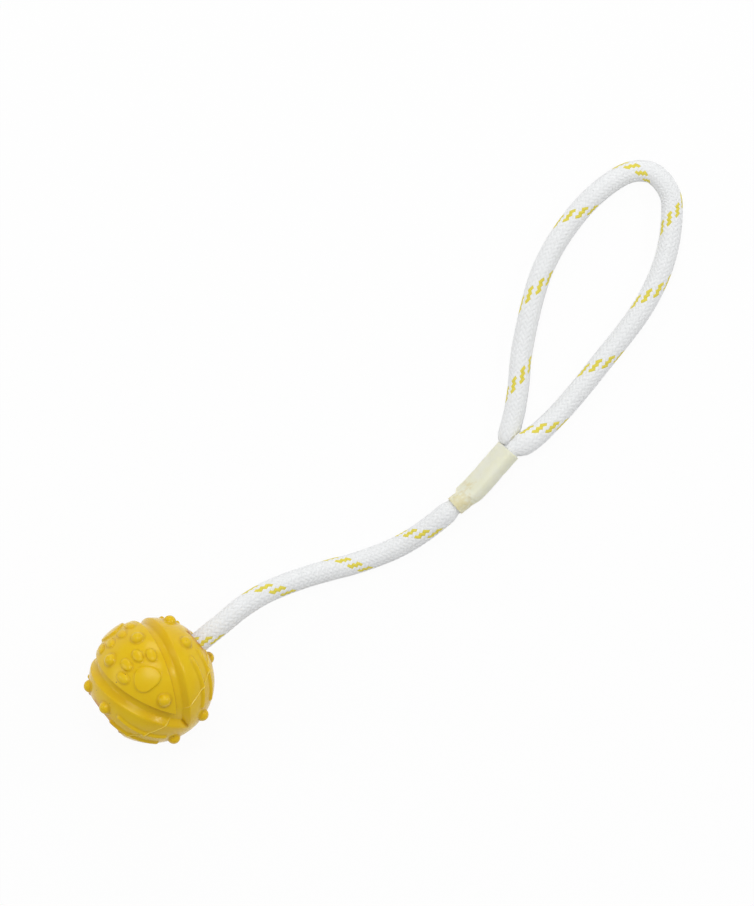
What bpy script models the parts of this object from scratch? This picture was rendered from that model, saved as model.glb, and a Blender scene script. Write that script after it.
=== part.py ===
"""A dog's floating throw ball on a braided rope, with a sleeved hand loop.

The ball is one moulding of sponge rubber. The rope runs through its bore to a
stopper knot in a pocket on the far side, and outside it leads to a hand loop
whose tail is bound to the rope by a shrunk sleeve. Metres, +Z up. +X is the
axis of the ball's bore, toward the rope, and the origin is on the floor under
the middle of the ball's box.
"""

import math
from collections import namedtuple

import bmesh
import bpy
from mathutils import Matrix, Vector

# Ball: body, bore and knot pocket
BALL_RADIUS = 0.0300
BORE_RADIUS = 0.0053
MOUTH_LAND_RADIUS = 0.0082
MOUTH_CHAMFER = 0.0008
POCKET_RADIUS = 0.0123
POCKET_FLOOR_BEHIND_CENTRE = 0.0006
POCKET_LIP_CHAMFER = 0.0010
BALL_STEPS = 52
BALL_ARC_SEGMENTS = 25
BALL_SEAM_TURN_DEG = 1.3
RELIEF_TURN_DEG = -44.0

# Channels: one on each side of each of the two lens-shaped panels
CHANNEL_DEPTH = 0.0030
CHANNEL_INNER_OFFSET = -0.00105
CHANNEL_OUTER_OFFSET = 0.00615
CHANNEL_DRAFT = 0.0003
CHANNEL_SLOPE_WIDTH = 0.0030
CHANNEL_PLANE_TILT_DEG = 31.1
CHANNEL_STEPS = 48
CHANNEL_SEAM_TURN_DEG = 1.9
CUT_OVERRUN = 0.0040
CUT_OVERLAP = 0.0001

# Bumps: two beside the lens's pole, one toward each tip, and four past the tips, as near to the bore's
# axis as the pocket's lip lets them stand
BUMP_RADIUS = 0.00315
BUMP_HEIGHT = 0.0028
PANEL_BUMPS_DEG = ((0.0, 16.0), (0.0, -16.0), (65.5, 0.0), (-65.5, 0.0))
FLANK_BUMP_ACROSS_DEG = 17.0
FLANK_BUMP_LIP_GAP = 0.0007
BUMP_SEGMENTS = 12
BUMP_RINGS = 7

# Ribs: two at each of the four corners where the panels' ends pass
RIB_RADIUS = 0.00095
RIB_PROUD = 0.0001
RIB_BENDS_DEG = ((55.0, 47.5), (86.0, 38.5), (106.0, 23.0))
RIB_POINTS = 8

# Paw prints: two toe to toe on each lens, each a pad and four toes. Their middles are (distance along
# the lens, distance across it) from its pole, over the ball's surface.
PAW_HEIGHT = 0.0008
PAW_ROOT = 0.0015
PAD_RADIUS = 0.0064
PAD_CORNER_SHARE = 0.065
PAD_BREADTH_SHARE = 0.07
PAD_CENTRE_AT = (0.0207, 0.0)
PAD_POINTS = 20
TOE_LENGTH = 0.0073
TOE_WIDTH = 0.0050
TOES_AT = ((0.0129, 0.0088), (0.0091, 0.0034), (0.0091, -0.0034), (0.0129, -0.0088))
TOE_SPLAY_SHARE = 0.25
TOE_POINTS = 12

# Rope
ROPE_RADIUS = 0.0051
BORE_ROPE_RADIUS = 0.0050
TOUCH_GAP = 0.0003
ROPE_BEVEL_RESOLUTION = 4
ROPE_SIDES = 2 * (ROPE_BEVEL_RESOLUTION + 2)
ROPE_STEP_DIAMETERS_SHARE = 1.2
END_STEP_SHARES = (0.0, 0.12, 0.5)
CURVE_PARTS = 12
LEAD_START_IN_BORE = 0.0200
BORE_ROPE_POINTS = 6
LOOP_SWELL_LENGTH = 0.0122

# The rope's height above the floor where a flat side of its tube lies on it
LAID = ROPE_RADIUS * math.cos(math.pi / ROPE_SIDES)

# Stopper knot, as half of its route in units that fit it to the pocket; a half turn makes the other half
KNOT_ROPE_UNIT_SHARE = 0.46
KNOT_SIDE_GAP = 0.0009
KNOT_NECK_RADIUS = 0.0036
KNOT_NECK_LENGTH = 0.0015
KNOT_SEAT_GAP = 0.0006
KNOT_STEP = 0.0029
KNOT_HALF_ROUTE_SHARES = (
    (0.00, 0.00, 0.88),
    (-0.31, 0.39, 0.88),
    (-0.64, 0.74, 0.75),
    (-0.96, 0.96, 0.44),
    (-1.19, 0.98, 0.00),
    (-1.28, 0.83, -0.45),
    (-1.21, 0.50, -0.83),
    (-0.99, 0.12, -1.04),
    (-0.64, -0.23, -1.06),
    (-0.25, -0.48, -0.88),
    (0.11, -0.53, -0.55),
    (0.39, -0.34, -0.20),
    (0.76, 0.00, 0.01),
    (1.20, 0.09, 0.06),
    (1.66, 0.03, 0.02),
)
KNOT_REACH_SHARE = max(math.hypot(y, z) for _, y, z in KNOT_HALF_ROUTE_SHARES) + KNOT_ROPE_UNIT_SHARE
KNOT_UNIT = (POCKET_RADIUS - KNOT_SIDE_GAP) / KNOT_REACH_SHARE
KNOT_ROPE_RADIUS = KNOT_ROPE_UNIT_SHARE * KNOT_UNIT

# Loop sleeve: a shrunk tube round the rope, and round the loop's tail but for its lower end
SLEEVE_WALL = 0.0006
SLEEVE_SINGLE_LENGTH = 0.0042
SLEEVE_STEP_LENGTH = 0.0024
SLEEVE_SINGLE_RADIUS = 0.0049
SLEEVE_BOUND_RADIUS = 0.0035
SLEEVE_STATION_STEP = 0.0024
SLEEVE_SIDES = 24
TAIL_INSET = 0.0074
MOUTH_STRAIGHT = 0.0015
BOUND_SPACING = 2 * SLEEVE_BOUND_RADIUS + TOUCH_GAP
SLEEVE_LEAN_DEG = 29.0
SLEEVE_OUTER_RADIUS = SLEEVE_BOUND_RADIUS + TOUCH_GAP + SLEEVE_WALL
TAIL_HEIGHT = SLEEVE_OUTER_RADIUS
STANDING_HEIGHT = TAIL_HEIGHT + BOUND_SPACING * math.cos(math.radians(SLEEVE_LEAN_DEG))

# Routes, in metres from the ball's centre on the floor plan (x, y), with the height of the rope's
# middle above the floor.
# The lead rope leaves the bore straight, comes down to the floor and climbs into the sleeve.
LEAD_PLAN = (
    (0.0203, 0.0000),
    (0.0340, 0.0000),
    (0.0440, 0.0000),
    (0.0545, 0.0001),
    (0.0660, -0.0012),
    (0.0772, -0.0042),
    (0.0880, -0.0081),
    (0.0987, -0.0127),
    (0.1092, -0.0175),
    (0.1202, -0.0216),
    (0.1314, -0.0248),
    (0.1430, -0.0265),
    (0.1545, -0.0269),
    (0.1620, -0.0267),
    (0.1643, -0.0267),
)
LEAD_DROP_SHARES = (
    1.00, 1.00, 0.995, 0.955, 0.84, 0.65, 0.42, 0.20, 0.05, 0.00, 0.00, 0.00, 0.00, 0.00, 0.00,
)
LEAD_CLIMB_SHARES = (
    0.00, 0.00, 0.00, 0.00, 0.00, 0.00, 0.00, 0.00, 0.00, 0.00, 0.13, 0.52, 0.90, 1.00, 1.00,
)
# The middle of the sleeve, from its lower end to its mouth.
SLEEVE_PLAN = (
    (0.1646, -0.0267),
    (0.1730, -0.0264),
    (0.1821, -0.0253),
    (0.1900, -0.0239),
    (0.2017, -0.0219),
)
# The hand loop, from the mouth along the left limb to the crown and back down the right limb.
LOOP_PLAN = (
    (0.2058, -0.0168),
    (0.2113, -0.0128),
    (0.2165, -0.0088),
    (0.2250, -0.0010),
    (0.2348, 0.0091),
    (0.2455, 0.0183),
    (0.2566, 0.0269),
    (0.2684, 0.0347),
    (0.2812, 0.0405),
    (0.2947, 0.0446),
    (0.3086, 0.0470),
    (0.3227, 0.0470),
    (0.3325, 0.0446),
    (0.3389, 0.0390),
    (0.3407, 0.0320),
    (0.3396, 0.0247),
    (0.3361, 0.0188),
    (0.3267, 0.0088),
    (0.3157, 0.0004),
    (0.3036, -0.0061),
    (0.2906, -0.0109),
    (0.2772, -0.0143),
    (0.2637, -0.0172),
    (0.2502, -0.0202),
    (0.2366, -0.0228),
    (0.2278, -0.0240),
    (0.2197, -0.0247),
    (0.2130, -0.0246),
    (0.2075, -0.0240),
)
LOOP_CLIMB_SHARES = (0.04, 0.01) + 22 * (0.0,) + (0.10, 0.32, 0.62, 0.86, 0.97)

# Finishes, as linear red, green and blue
SPONGE_YELLOW = (0.72, 0.46, 0.028)
ROPE_WHITE = (0.86, 0.87, 0.87)
SLEEVE_CREAM = (0.74, 0.72, 0.55)


def clear_scene():
    """Removes every object that the file starts with."""
    for old in list(bpy.data.objects):
        bpy.data.objects.remove(old, do_unlink=True)


def collection(name):
    """A new collection in the scene."""
    made = bpy.data.collections.new(name)
    bpy.context.scene.collection.children.link(made)
    return made


def finish(name, colour, roughness):
    """A plain surface material."""
    made = bpy.data.materials.new(name)
    made.use_nodes = True
    shader = made.node_tree.nodes["Principled BSDF"]
    shader.inputs["Base Color"].default_value = (*colour, 1.0)
    shader.inputs["Roughness"].default_value = roughness
    shader.inputs["Metallic"].default_value = 0.0
    return made


def added(name, data, group, parent=None):
    """A new object holding the data, in a collection, carried by its parent."""
    made = bpy.data.objects.new(name, data)
    group.objects.link(made)
    made.parent = parent
    return made


def mesh_of(name, shape):
    """A mesh from a bmesh, which is freed."""
    made = bpy.data.meshes.new(name)
    bmesh.ops.recalc_face_normals(shape, faces=shape.faces)
    shape.to_mesh(made)
    shape.free()
    return made


def as_cutter(made):
    """Leaves the object out of the picture, as a tool for Booleans."""
    made.hide_render = True
    made.display_type = "WIRE"
    return made


def boolean(target, tool, operation):
    """Adds a Boolean of the target with the tool."""
    step = target.modifiers.new(tool.name, "BOOLEAN")
    step.operation = operation
    step.solver = "EXACT"
    step.object = tool


def turned(made, steps):
    """Turns the object's profile round its own Z axis."""
    step = made.modifiers.new("turn", "SCREW")
    step.steps = steps
    step.render_steps = steps
    step.use_merge_vertices = True
    step.merge_threshold = CUT_OVERLAP
    step.use_smooth_shade = True


def profile(name, points):
    """A closed outline of (radius, height) points at +X, down its outer side first."""
    shape = bmesh.new()
    corners = [shape.verts.new((radius, 0.0, height)) for radius, height in points]
    for start, end in zip(corners, corners[1:] + corners[:1], strict=True):
        shape.edges.new((start, end))
    made = bpy.data.meshes.new(name)
    shape.to_mesh(made)
    shape.free()
    return made


def toward(along_deg, across_deg):
    """The unit vector from the ball's centre at two angles of the lens whose pole is +Z."""
    along = math.radians(along_deg)
    across = math.radians(across_deg)
    return Vector((
        math.sin(across),
        -math.cos(across) * math.sin(along),
        math.cos(across) * math.cos(along),
    ))


def radial_frame(point, heading):
    """A matrix at the point whose +Z is away from the ball's centre, with +Y along the heading."""
    out = point.normalized()
    ahead = (heading - heading.dot(out) * out).normalized()
    turn = Matrix((ahead.cross(out), ahead, out)).transposed()
    return Matrix.Translation(point) @ turn.to_4x4()


# The second lens is the first turned over onto the other side of the ball
LENSES = (
    Matrix.Identity(3),
    Matrix(((0, 1, 0), (1, 0, 0), (0, 0, -1))),
)
HALF_TURN = Matrix(((-1, 0, 0), (0, -1, 0), (0, 0, 1)))


def over_surface(distances_at):
    """The angles at the ball's centre of a place that is given by its distances over the surface."""
    return [math.degrees(at / BALL_RADIUS) for at in distances_at]


def flank_bump_along_deg():
    """How far past a lens's tip the bumps stand that pass the pocket's lip by their gap."""
    from_axis = POCKET_RADIUS + POCKET_LIP_CHAMFER + BUMP_RADIUS + FLANK_BUMP_LIP_GAP
    along_axis = math.sqrt(1 - (from_axis / BALL_RADIUS) ** 2)
    return 180 - math.degrees(math.asin(along_axis / math.cos(math.radians(FLANK_BUMP_ACROSS_DEG))))


def clear_of_pocket(way):
    """Whether a bump in that direction from the ball's centre stands clear of the pocket's lip."""
    from_axis = math.hypot(way.y, way.z) * BALL_RADIUS
    return way.x > 0 or from_axis > POCKET_RADIUS + POCKET_LIP_CHAMFER + BUMP_RADIUS


def bump_directions():
    """The directions of all the bumps from the ball's centre, but for one that the pocket cuts away."""
    flank = [
        (end * flank_bump_along_deg(), side * FLANK_BUMP_ACROSS_DEG)
        for end in (1, -1)
        for side in (1, -1)
    ]
    ways = [lens @ toward(*angles) for lens in LENSES for angles in (*PANEL_BUMPS_DEG, *flank)]
    return [way for way in ways if clear_of_pocket(way)]


def ball_height():
    """How high the ball's centre is when its lowest bumps touch the floor."""
    turn = Matrix.Rotation(math.radians(RELIEF_TURN_DEG), 3, "X")
    middle = BALL_RADIUS + BUMP_HEIGHT - BUMP_RADIUS
    return max(BUMP_RADIUS - (turn @ way).z * middle for way in bump_directions())


def ball_offset():
    """How far the ball's centre is from the middle of its box, whose far side the pocket cuts short."""
    along_bore = [way.x for way in bump_directions()]
    return -(BALL_RADIUS + BUMP_HEIGHT - BUMP_RADIUS) * (max(along_bore) + min(along_bore)) / 2


def ball_profile():
    """The ball's section with its bore, the land round the rope and the knot's pocket."""
    land = math.sqrt(BALL_RADIUS**2 - MOUTH_LAND_RADIUS**2)
    lip = POCKET_RADIUS + POCKET_LIP_CHAMFER
    first = math.asin(MOUTH_LAND_RADIUS / BALL_RADIUS)
    last = math.pi - math.asin(lip / BALL_RADIUS)
    points = []
    for i in range(BALL_ARC_SEGMENTS + 1):
        angle = first + (last - first) * i / BALL_ARC_SEGMENTS
        points.append((BALL_RADIUS * math.sin(angle), BALL_RADIUS * math.cos(angle)))
    lip_at = -math.sqrt(BALL_RADIUS**2 - lip**2)
    floor = -POCKET_FLOOR_BEHIND_CENTRE
    points += [
        (POCKET_RADIUS, lip_at + POCKET_LIP_CHAMFER),
        (POCKET_RADIUS, floor - POCKET_LIP_CHAMFER),
        (POCKET_RADIUS - POCKET_LIP_CHAMFER, floor),
        (BORE_RADIUS, floor),
        (BORE_RADIUS, land - MOUTH_CHAMFER),
        (BORE_RADIUS + MOUTH_CHAMFER, land),
    ]
    return points


def channel_ring(side, lens_name, lens, group, carrier):
    """One channel's cutter: a turned ring, kept only on its own side of the lens."""
    tilt = math.radians(CHANNEL_PLANE_TILT_DEG)
    inner = CHANNEL_INNER_OFFSET
    outer = CHANNEL_OUTER_OFFSET
    floor = BALL_RADIUS - CHANNEL_DEPTH
    brim = math.sqrt(BALL_RADIUS**2 - outer**2)
    ring = added(
        f"channel_cutter_{lens_name}_{side:+d}",
        profile("channel", (
            (brim + CUT_OVERRUN, outer + CUT_OVERRUN),
            (BALL_RADIUS + CUT_OVERRUN, inner),
            (floor, inner + CHANNEL_DRAFT),
            (math.sqrt(floor**2 - (outer - CHANNEL_SLOPE_WIDTH) ** 2), outer - CHANNEL_SLOPE_WIDTH),
        )),
        group,
        carrier,
    )
    axis = lens @ Vector((side * math.cos(tilt), 0, -math.sin(tilt)))
    seam = Matrix.Rotation(math.radians(CHANNEL_SEAM_TURN_DEG), 4, "Z")
    ring.matrix_basis = axis.to_track_quat("Z", "Y").to_matrix().to_4x4() @ seam
    turned(ring, CHANNEL_STEPS)
    reach = BALL_RADIUS + 2 * CUT_OVERRUN
    shape = bmesh.new()
    bmesh.ops.create_cube(shape, size=1.0)
    bmesh.ops.scale(shape, vec=(reach, 2 * reach, 2 * reach), verts=shape.verts)
    half = added(f"half_space_{lens_name}_{side:+d}", mesh_of("half_space", shape), group, carrier)
    half.matrix_local = lens.to_4x4() @ Matrix.Translation(
        (side * (reach / 2 - CUT_OVERLAP), 0, 0)
    )
    boolean(ring, as_cutter(half), "INTERSECT")
    return as_cutter(ring)


def bumps(group, carrier):
    """All the bumps, as balls half sunk in the surface."""
    shape = bmesh.new()
    middle = BALL_RADIUS + BUMP_HEIGHT - BUMP_RADIUS
    for way in bump_directions():
        bmesh.ops.create_uvsphere(
            shape,
            u_segments=BUMP_SEGMENTS,
            v_segments=BUMP_RINGS,
            radius=BUMP_RADIUS,
            matrix=radial_frame(way * middle, way.orthogonal()),
        )
    return as_cutter(added("bump_tool", mesh_of("bumps", shape), group, carrier))


def joined(name, sources, group, carrier):
    """One mesh object from several curve objects, whose caps are welded and which are removed."""
    shape = bmesh.new()
    bpy.context.view_layer.update()
    graph = bpy.context.evaluated_depsgraph_get()
    for source in sources:
        mesh = bpy.data.meshes.new_from_object(source.evaluated_get(graph))
        mesh.transform(source.matrix_basis)
        shape.from_mesh(mesh)
        bpy.data.objects.remove(source, do_unlink=True)
    bmesh.ops.remove_doubles(shape, verts=shape.verts, dist=TOUCH_GAP / 100)
    return as_cutter(added(name, mesh_of(name, shape), group, carrier))


def rib_route(flipped, mirror):
    """Points along one rib: a smooth bend through three directions, on the ball's surface."""
    first, middle, last = (toward(*angles) for angles in RIB_BENDS_DEG)
    points = []
    for i in range(RIB_POINTS):
        t = i / (RIB_POINTS - 1)
        way = (
            first * ((1 - t) * (1 - 2 * t))
            + middle * (4 * t * (1 - t))
            + last * (t * (2 * t - 1))
        ).normalized()
        if flipped:
            way = Vector((-way.y, -way.x, -way.z))
        points.append(Vector((way.x * mirror[0], way.y * mirror[1], way.z)))
    return [way * (BALL_RADIUS + RIB_PROUD) for way in points]


def ribs(group, carrier):
    """The eight ribs, as round bars half sunk in the surface."""
    bars = []
    for mirror in ((1, 1), (-1, 1), (1, -1), (-1, -1)):
        for flipped in (False, True):
            route = rib_route(flipped, mirror)
            bars.append(tube("rib", route, [RIB_RADIUS] * len(route), 2, group))
    return joined("rib_tool", bars, group, carrier)


def ring_outline(point_at, count):
    """Points of a closed outline from its (x, y) at each angle."""
    return [point_at(2 * math.pi * i / count) for i in range(count)]


def pad_point(angle):
    """A rounded triangle with its broadest corner toward the toes, which are at -Y."""
    corners = PAD_CORNER_SHARE * math.sin(3 * angle)
    breadth = PAD_BREADTH_SHARE * math.cos(2 * angle)
    radius = PAD_RADIUS * (1 - corners + breadth)
    return radius * math.cos(angle), -radius * math.sin(angle)


def toe_point(angle):
    """An ellipse that is longer along Y."""
    return TOE_WIDTH / 2 * math.cos(angle), TOE_LENGTH / 2 * math.sin(angle)


def raised_outline(outline, frame, group):
    """A short prism of the outline, standing through the ball's surface at the frame."""
    data = bpy.data.curves.new("outline", "CURVE")
    data.dimensions = "2D"
    data.fill_mode = "BOTH"
    data.extrude = PAW_ROOT + PAW_HEIGHT
    line = data.splines.new("POLY")
    line.points.add(len(outline) - 1)
    for point, (x, y) in zip(line.points, outline, strict=True):
        point.co = (x, y, 0.0, 1.0)
    line.use_cyclic_u = True
    made = bpy.data.objects.new("outline", data)
    group.objects.link(made)
    made.matrix_basis = frame
    return made


def paw_prints(group, carrier):
    """The four paw prints: prisms topped by a slightly larger ball than the body."""
    prisms = []
    for lens in LENSES:
        for turn in (Matrix.Identity(3), HALF_TURN):
            place = lens @ turn
            pad_at = toward(*over_surface(PAD_CENTRE_AT))
            pole = Vector((0, 0, 1))
            for place_at, shape_point, count in (
                (PAD_CENTRE_AT, pad_point, PAD_POINTS),
                *((toe, toe_point, TOE_POINTS) for toe in TOES_AT),
            ):
                at = toward(*over_surface(place_at))
                heading = pad_at - pole if shape_point is pad_point else pad_at - at
                heading.x *= TOE_SPLAY_SHARE
                frame = radial_frame(place @ at * BALL_RADIUS, place @ heading)
                outline = ring_outline(shape_point, count)
                prisms.append(raised_outline(outline, frame, group))
    tool = joined("paw_tool", prisms, group, carrier)
    shape = bmesh.new()
    bmesh.ops.create_uvsphere(
        shape,
        u_segments=BALL_STEPS,
        v_segments=BALL_STEPS // 2,
        radius=BALL_RADIUS + PAW_HEIGHT,
    )
    dome = as_cutter(added("paw_dome", mesh_of("paw_dome", shape), group, carrier))
    boolean(tool, dome, "INTERSECT")
    return tool


def ball(group, cutters, carrier, material):
    """The moulded ball: a turned body, four channels cut in, and its relief raised on it."""
    made = added("ball", profile("ball", ball_profile()), group, carrier)
    seam = Matrix.Rotation(math.radians(BALL_SEAM_TURN_DEG), 4, "Z")
    made.matrix_basis = Matrix.Rotation(math.pi / 2, 4, "Y") @ seam
    turned(made, BALL_STEPS)
    for lens_name, lens in zip(("upper", "lower"), LENSES, strict=True):
        for side in (1, -1):
            ring = channel_ring(side, lens_name, lens, cutters, carrier)
            boolean(made, ring, "DIFFERENCE")
    for tool in (bumps(cutters, carrier), ribs(cutters, carrier), paw_prints(cutters, carrier)):
        boolean(made, tool, "UNION")
    made.data.materials.append(material)
    return made


def smooth_route(points, step):
    """Points a step apart on a smooth curve through the route's own points."""
    route = [Vector(p) for p in points]
    ends = [2 * route[0] - route[1], *route, 2 * route[-1] - route[-2]]
    fine = []
    for before, start, end, after in zip(ends, ends[1:], ends[2:], ends[3:], strict=False):
        for i in range(CURVE_PARTS):
            t = i / CURVE_PARTS
            fine.append(0.5 * (
                2 * start
                + (end - before) * t
                + (2 * before - 5 * start + 4 * end - after) * t**2
                + (3 * start - before - 3 * end + after) * t**3
            ))
    fine.append(route[-1])
    along = [0.0]
    for start, end in zip(fine, fine[1:], strict=False):
        along.append(along[-1] + (end - start).length)
    parts = max(2, math.ceil(along[-1] / step))
    stops = [along[-1] * i / parts for i in range(1, parts)]
    short = [step * share for share in END_STEP_SHARES]
    stops = short + stops + [along[-1] - at for at in reversed(short)]
    spaced = []
    k = 0
    for at in stops:
        while k < len(along) - 2 and along[k + 1] < at:
            k += 1
        share = (at - along[k]) / (along[k + 1] - along[k])
        spaced.append(fine[k].lerp(fine[k + 1], min(1.0, share)))
    return spaced


def tube(name, route, radii, resolution, group):
    """A round bar along the route, with a radius at each point and closed ends."""
    data = bpy.data.curves.new(name, "CURVE")
    data.dimensions = "3D"
    data.twist_mode = "Z_UP"
    data.bevel_depth = max(radii)
    data.bevel_resolution = resolution
    data.use_fill_caps = True
    line = data.splines.new("POLY")
    line.points.add(len(route) - 1)
    for point, place, radius in zip(line.points, route, radii, strict=True):
        point.co = (*place, 1.0)
        point.radius = radius / data.bevel_depth
        point.tilt = math.pi / (2 * (resolution + 2))
    made = bpy.data.objects.new(name, data)
    group.objects.link(made)
    return made


def distances(route):
    """How far along the route each of its points is."""
    along = [0.0]
    for start, end in zip(route, route[1:], strict=False):
        along.append(along[-1] + (end - start).length)
    return along


def eased(value, low, high):
    """From 0 at low to 1 at high, with a gentle start and end."""
    t = min(1.0, max(0.0, (value - low) / (high - low)))
    return t * t * (3 - 2 * t)


def rope(name, route, radius_at, group, carrier, material):
    """A stretch of the rope, whose radius follows the distance along it."""
    along = distances(route)
    made = tube(name, route, [radius_at(at, along[-1]) for at in along], ROPE_BEVEL_RESOLUTION, group)
    made.parent = carrier
    made.data.materials.append(material)
    return made


def bore_rope(group, carrier, material):
    """The rope through the bore, drawn thinner where the knot pulls on it."""
    start = -POCKET_FLOOR_BEHIND_CENTRE
    end = LEAD_START_IN_BORE
    step = (end - start) / (BORE_ROPE_POINTS - 1)
    route = [Vector((start + step * i, 0, 0)) for i in range(BORE_ROPE_POINTS)]

    def radius_at(at, total):
        return KNOT_NECK_RADIUS + (BORE_ROPE_RADIUS - KNOT_NECK_RADIUS) * eased(at, 0, total / 2)

    return rope("bore_rope", route, radius_at, group, carrier, material)


def knot_middle():
    """Where the knot's middle is behind the ball's centre, with the knot drawn onto its seat."""
    furthest = min(a for a, _, _ in KNOT_HALF_ROUTE_SHARES)
    return -POCKET_FLOOR_BEHIND_CENTRE - KNOT_SEAT_GAP + furthest * KNOT_UNIT - KNOT_ROPE_RADIUS


def stopper_knot(group, carrier, material):
    """The overhand knot in the pocket, one half of its route turned over to make the other."""
    half = [Vector(p) * KNOT_UNIT for p in KNOT_HALF_ROUTE_SHARES]
    other = [Vector((-p.x, -p.y, p.z)) for p in reversed(half[1:])]
    middle = Vector((knot_middle(), 0, 0))
    neck = Vector((-POCKET_FLOOR_BEHIND_CENTRE - TOUCH_GAP, 0, 0))
    straight = neck - Vector((KNOT_NECK_LENGTH, 0, 0))
    points = [p + middle for p in (*half[-2::-1], *other[::-1])]
    route = smooth_route([neck, straight, *points], KNOT_STEP)
    made = rope(
        "stopper_knot", route, lambda at, total: KNOT_ROPE_RADIUS, group, carrier, material
    )
    print("stopper_knot least gap to itself, mm:", round(1000 * least_gap(route), 2))
    return made


def least_gap(route):
    """The least space between two turns of the knot, surface to surface."""
    along = distances(route)
    gap = BALL_RADIUS
    for i, start in enumerate(route):
        for j in range(i + 1, len(route)):
            if along[j] - along[i] > 2 * KNOT_UNIT:
                gap = min(gap, (route[j] - start).length - 2 * KNOT_ROPE_RADIUS)
    return gap


def lead_rope(group, carrier, material):
    """The rope from the ball's mouth down to the floor and up into the sleeve."""
    height = ball_height()
    route = []
    for (x, y), drop, climb in zip(LEAD_PLAN, LEAD_DROP_SHARES, LEAD_CLIMB_SHARES, strict=True):
        z = LAID + (height - LAID) * drop + (STANDING_HEIGHT - LAID) * climb
        route.append((x, y, z))
    line = smooth_route(route, ROPE_STEP_DIAMETERS_SHARE * 2 * ROPE_RADIUS)

    def radius_at(at, total):
        inside = BORE_ROPE_RADIUS + (ROPE_RADIUS - BORE_ROPE_RADIUS) * eased(
            at, LEAD_START_IN_BORE, 2 * LEAD_START_IN_BORE
        )
        squeeze = ROPE_RADIUS - SLEEVE_SINGLE_RADIUS + SLEEVE_WALL
        return inside - squeeze * eased(at, total - 2 * ROPE_RADIUS, total)

    return rope("lead_rope", line, radius_at, group, carrier, material)


Station = namedtuple("Station", "along standing tail apart radius left ahead")


def sleeve_stations():
    """Where the standing rope and the tail are at each station of the sleeve, and its outer radius."""
    middle = smooth_route([(x, y, 0.0) for x, y in SLEEVE_PLAN], SLEEVE_STATION_STEP)
    lean = math.radians(SLEEVE_LEAN_DEG)
    stations = []
    for i, (along, place) in enumerate(zip(distances(middle), middle, strict=True)):
        ahead = (middle[min(i + 1, len(middle) - 1)] - middle[max(i - 1, 0)]).normalized()
        left = Vector((-ahead.y, ahead.x, 0))
        opened = eased(along, SLEEVE_SINGLE_LENGTH, SLEEVE_SINGLE_LENGTH + SLEEVE_STEP_LENGTH)
        spread = BOUND_SPACING * math.sin(lean) / 2
        drawn = eased(along, SLEEVE_SINGLE_LENGTH / 2, TAIL_INSET)
        standing = place - left * spread * drawn + Vector((0, 0, STANDING_HEIGHT))
        tail = place + left * spread + Vector((0, 0, TAIL_HEIGHT))
        radius = SLEEVE_SINGLE_RADIUS + (SLEEVE_OUTER_RADIUS - SLEEVE_SINGLE_RADIUS) * opened
        bound = standing.lerp(tail, opened)
        stations.append(Station(along, standing, bound, standing - tail, radius, left, ahead))
    return stations


def section(at):
    """A closed outline round both ropes: a half round about each and straight sides between."""
    up = Vector((0, 0, 1))
    base = math.atan2(at.apart.z, at.apart.dot(at.left))
    half = SLEEVE_SIDES // 2
    ring = []
    for centre, start in ((at.standing, base - math.pi / 2), (at.tail, base + math.pi / 2)):
        for i in range(half):
            angle = start + math.pi * (i + 0.5) / half
            ring.append(centre + at.radius * (math.cos(angle) * at.left + math.sin(angle) * up))
    return ring


def loop_sleeve(group, carrier, material):
    """The shrunk sleeve: a loft from one rope's round to the oval round two, given its wall."""
    shape = bmesh.new()
    rings = [
        [shape.verts.new(p) for p in section(at)]
        for at in sleeve_stations()
    ]
    for low, high in zip(rings, rings[1:], strict=False):
        for i in range(len(low)):
            j = (i + 1) % len(low)
            shape.faces.new((low[i], low[j], high[j], high[i]))
    made = added("loop_sleeve", mesh_of("loop_sleeve", shape), group, carrier)
    wall = made.modifiers.new("wall", "SOLIDIFY")
    wall.thickness = SLEEVE_WALL
    wall.offset = -1
    made.data.materials.append(material)
    return made


def sleeve_rope(group, carrier, material):
    """The rope inside the sleeve, squeezed where the tail lies beside it."""
    route = [at.standing for at in sleeve_stations()]
    free = SLEEVE_SINGLE_RADIUS - SLEEVE_WALL - TOUCH_GAP

    def radius_at(at, total):
        return free + (SLEEVE_BOUND_RADIUS - free) * eased(at, 0, SLEEVE_SINGLE_LENGTH)

    return rope("sleeve_rope", route, radius_at, group, carrier, material)


def rope_tail(group, carrier, material):
    """The loop's tail, bound inside the sleeve and cut off square before its lower end."""
    route = [at.tail for at in sleeve_stations() if at.along >= TAIL_INSET]
    return rope(
        "rope_tail", route, lambda at, total: SLEEVE_BOUND_RADIUS, group, carrier, material
    )


def hand_loop(group, carrier, material):
    """The hand loop, which swells to the rope's full size as its limbs leave the sleeve."""
    mouth = sleeve_stations()[-1]
    start = mouth.ahead * TOUCH_GAP
    straight = mouth.ahead * (TOUCH_GAP + MOUTH_STRAIGHT)
    route = [mouth.tail + start, mouth.tail + straight]
    for (x, y), climb in zip(LOOP_PLAN, LOOP_CLIMB_SHARES, strict=True):
        route.append(Vector((x, y, LAID + (STANDING_HEIGHT - LAID) * climb)))
    route += [mouth.standing + straight, mouth.standing + start]
    line = smooth_route(route, ROPE_STEP_DIAMETERS_SHARE * 2 * ROPE_RADIUS)

    def radius_at(at, total):
        nearest = min(at, total - at)
        return SLEEVE_BOUND_RADIUS + (ROPE_RADIUS - SLEEVE_BOUND_RADIUS) * eased(
            nearest, 0, LOOP_SWELL_LENGTH
        )

    return rope("hand_loop", line, radius_at, group, carrier, material)


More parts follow.
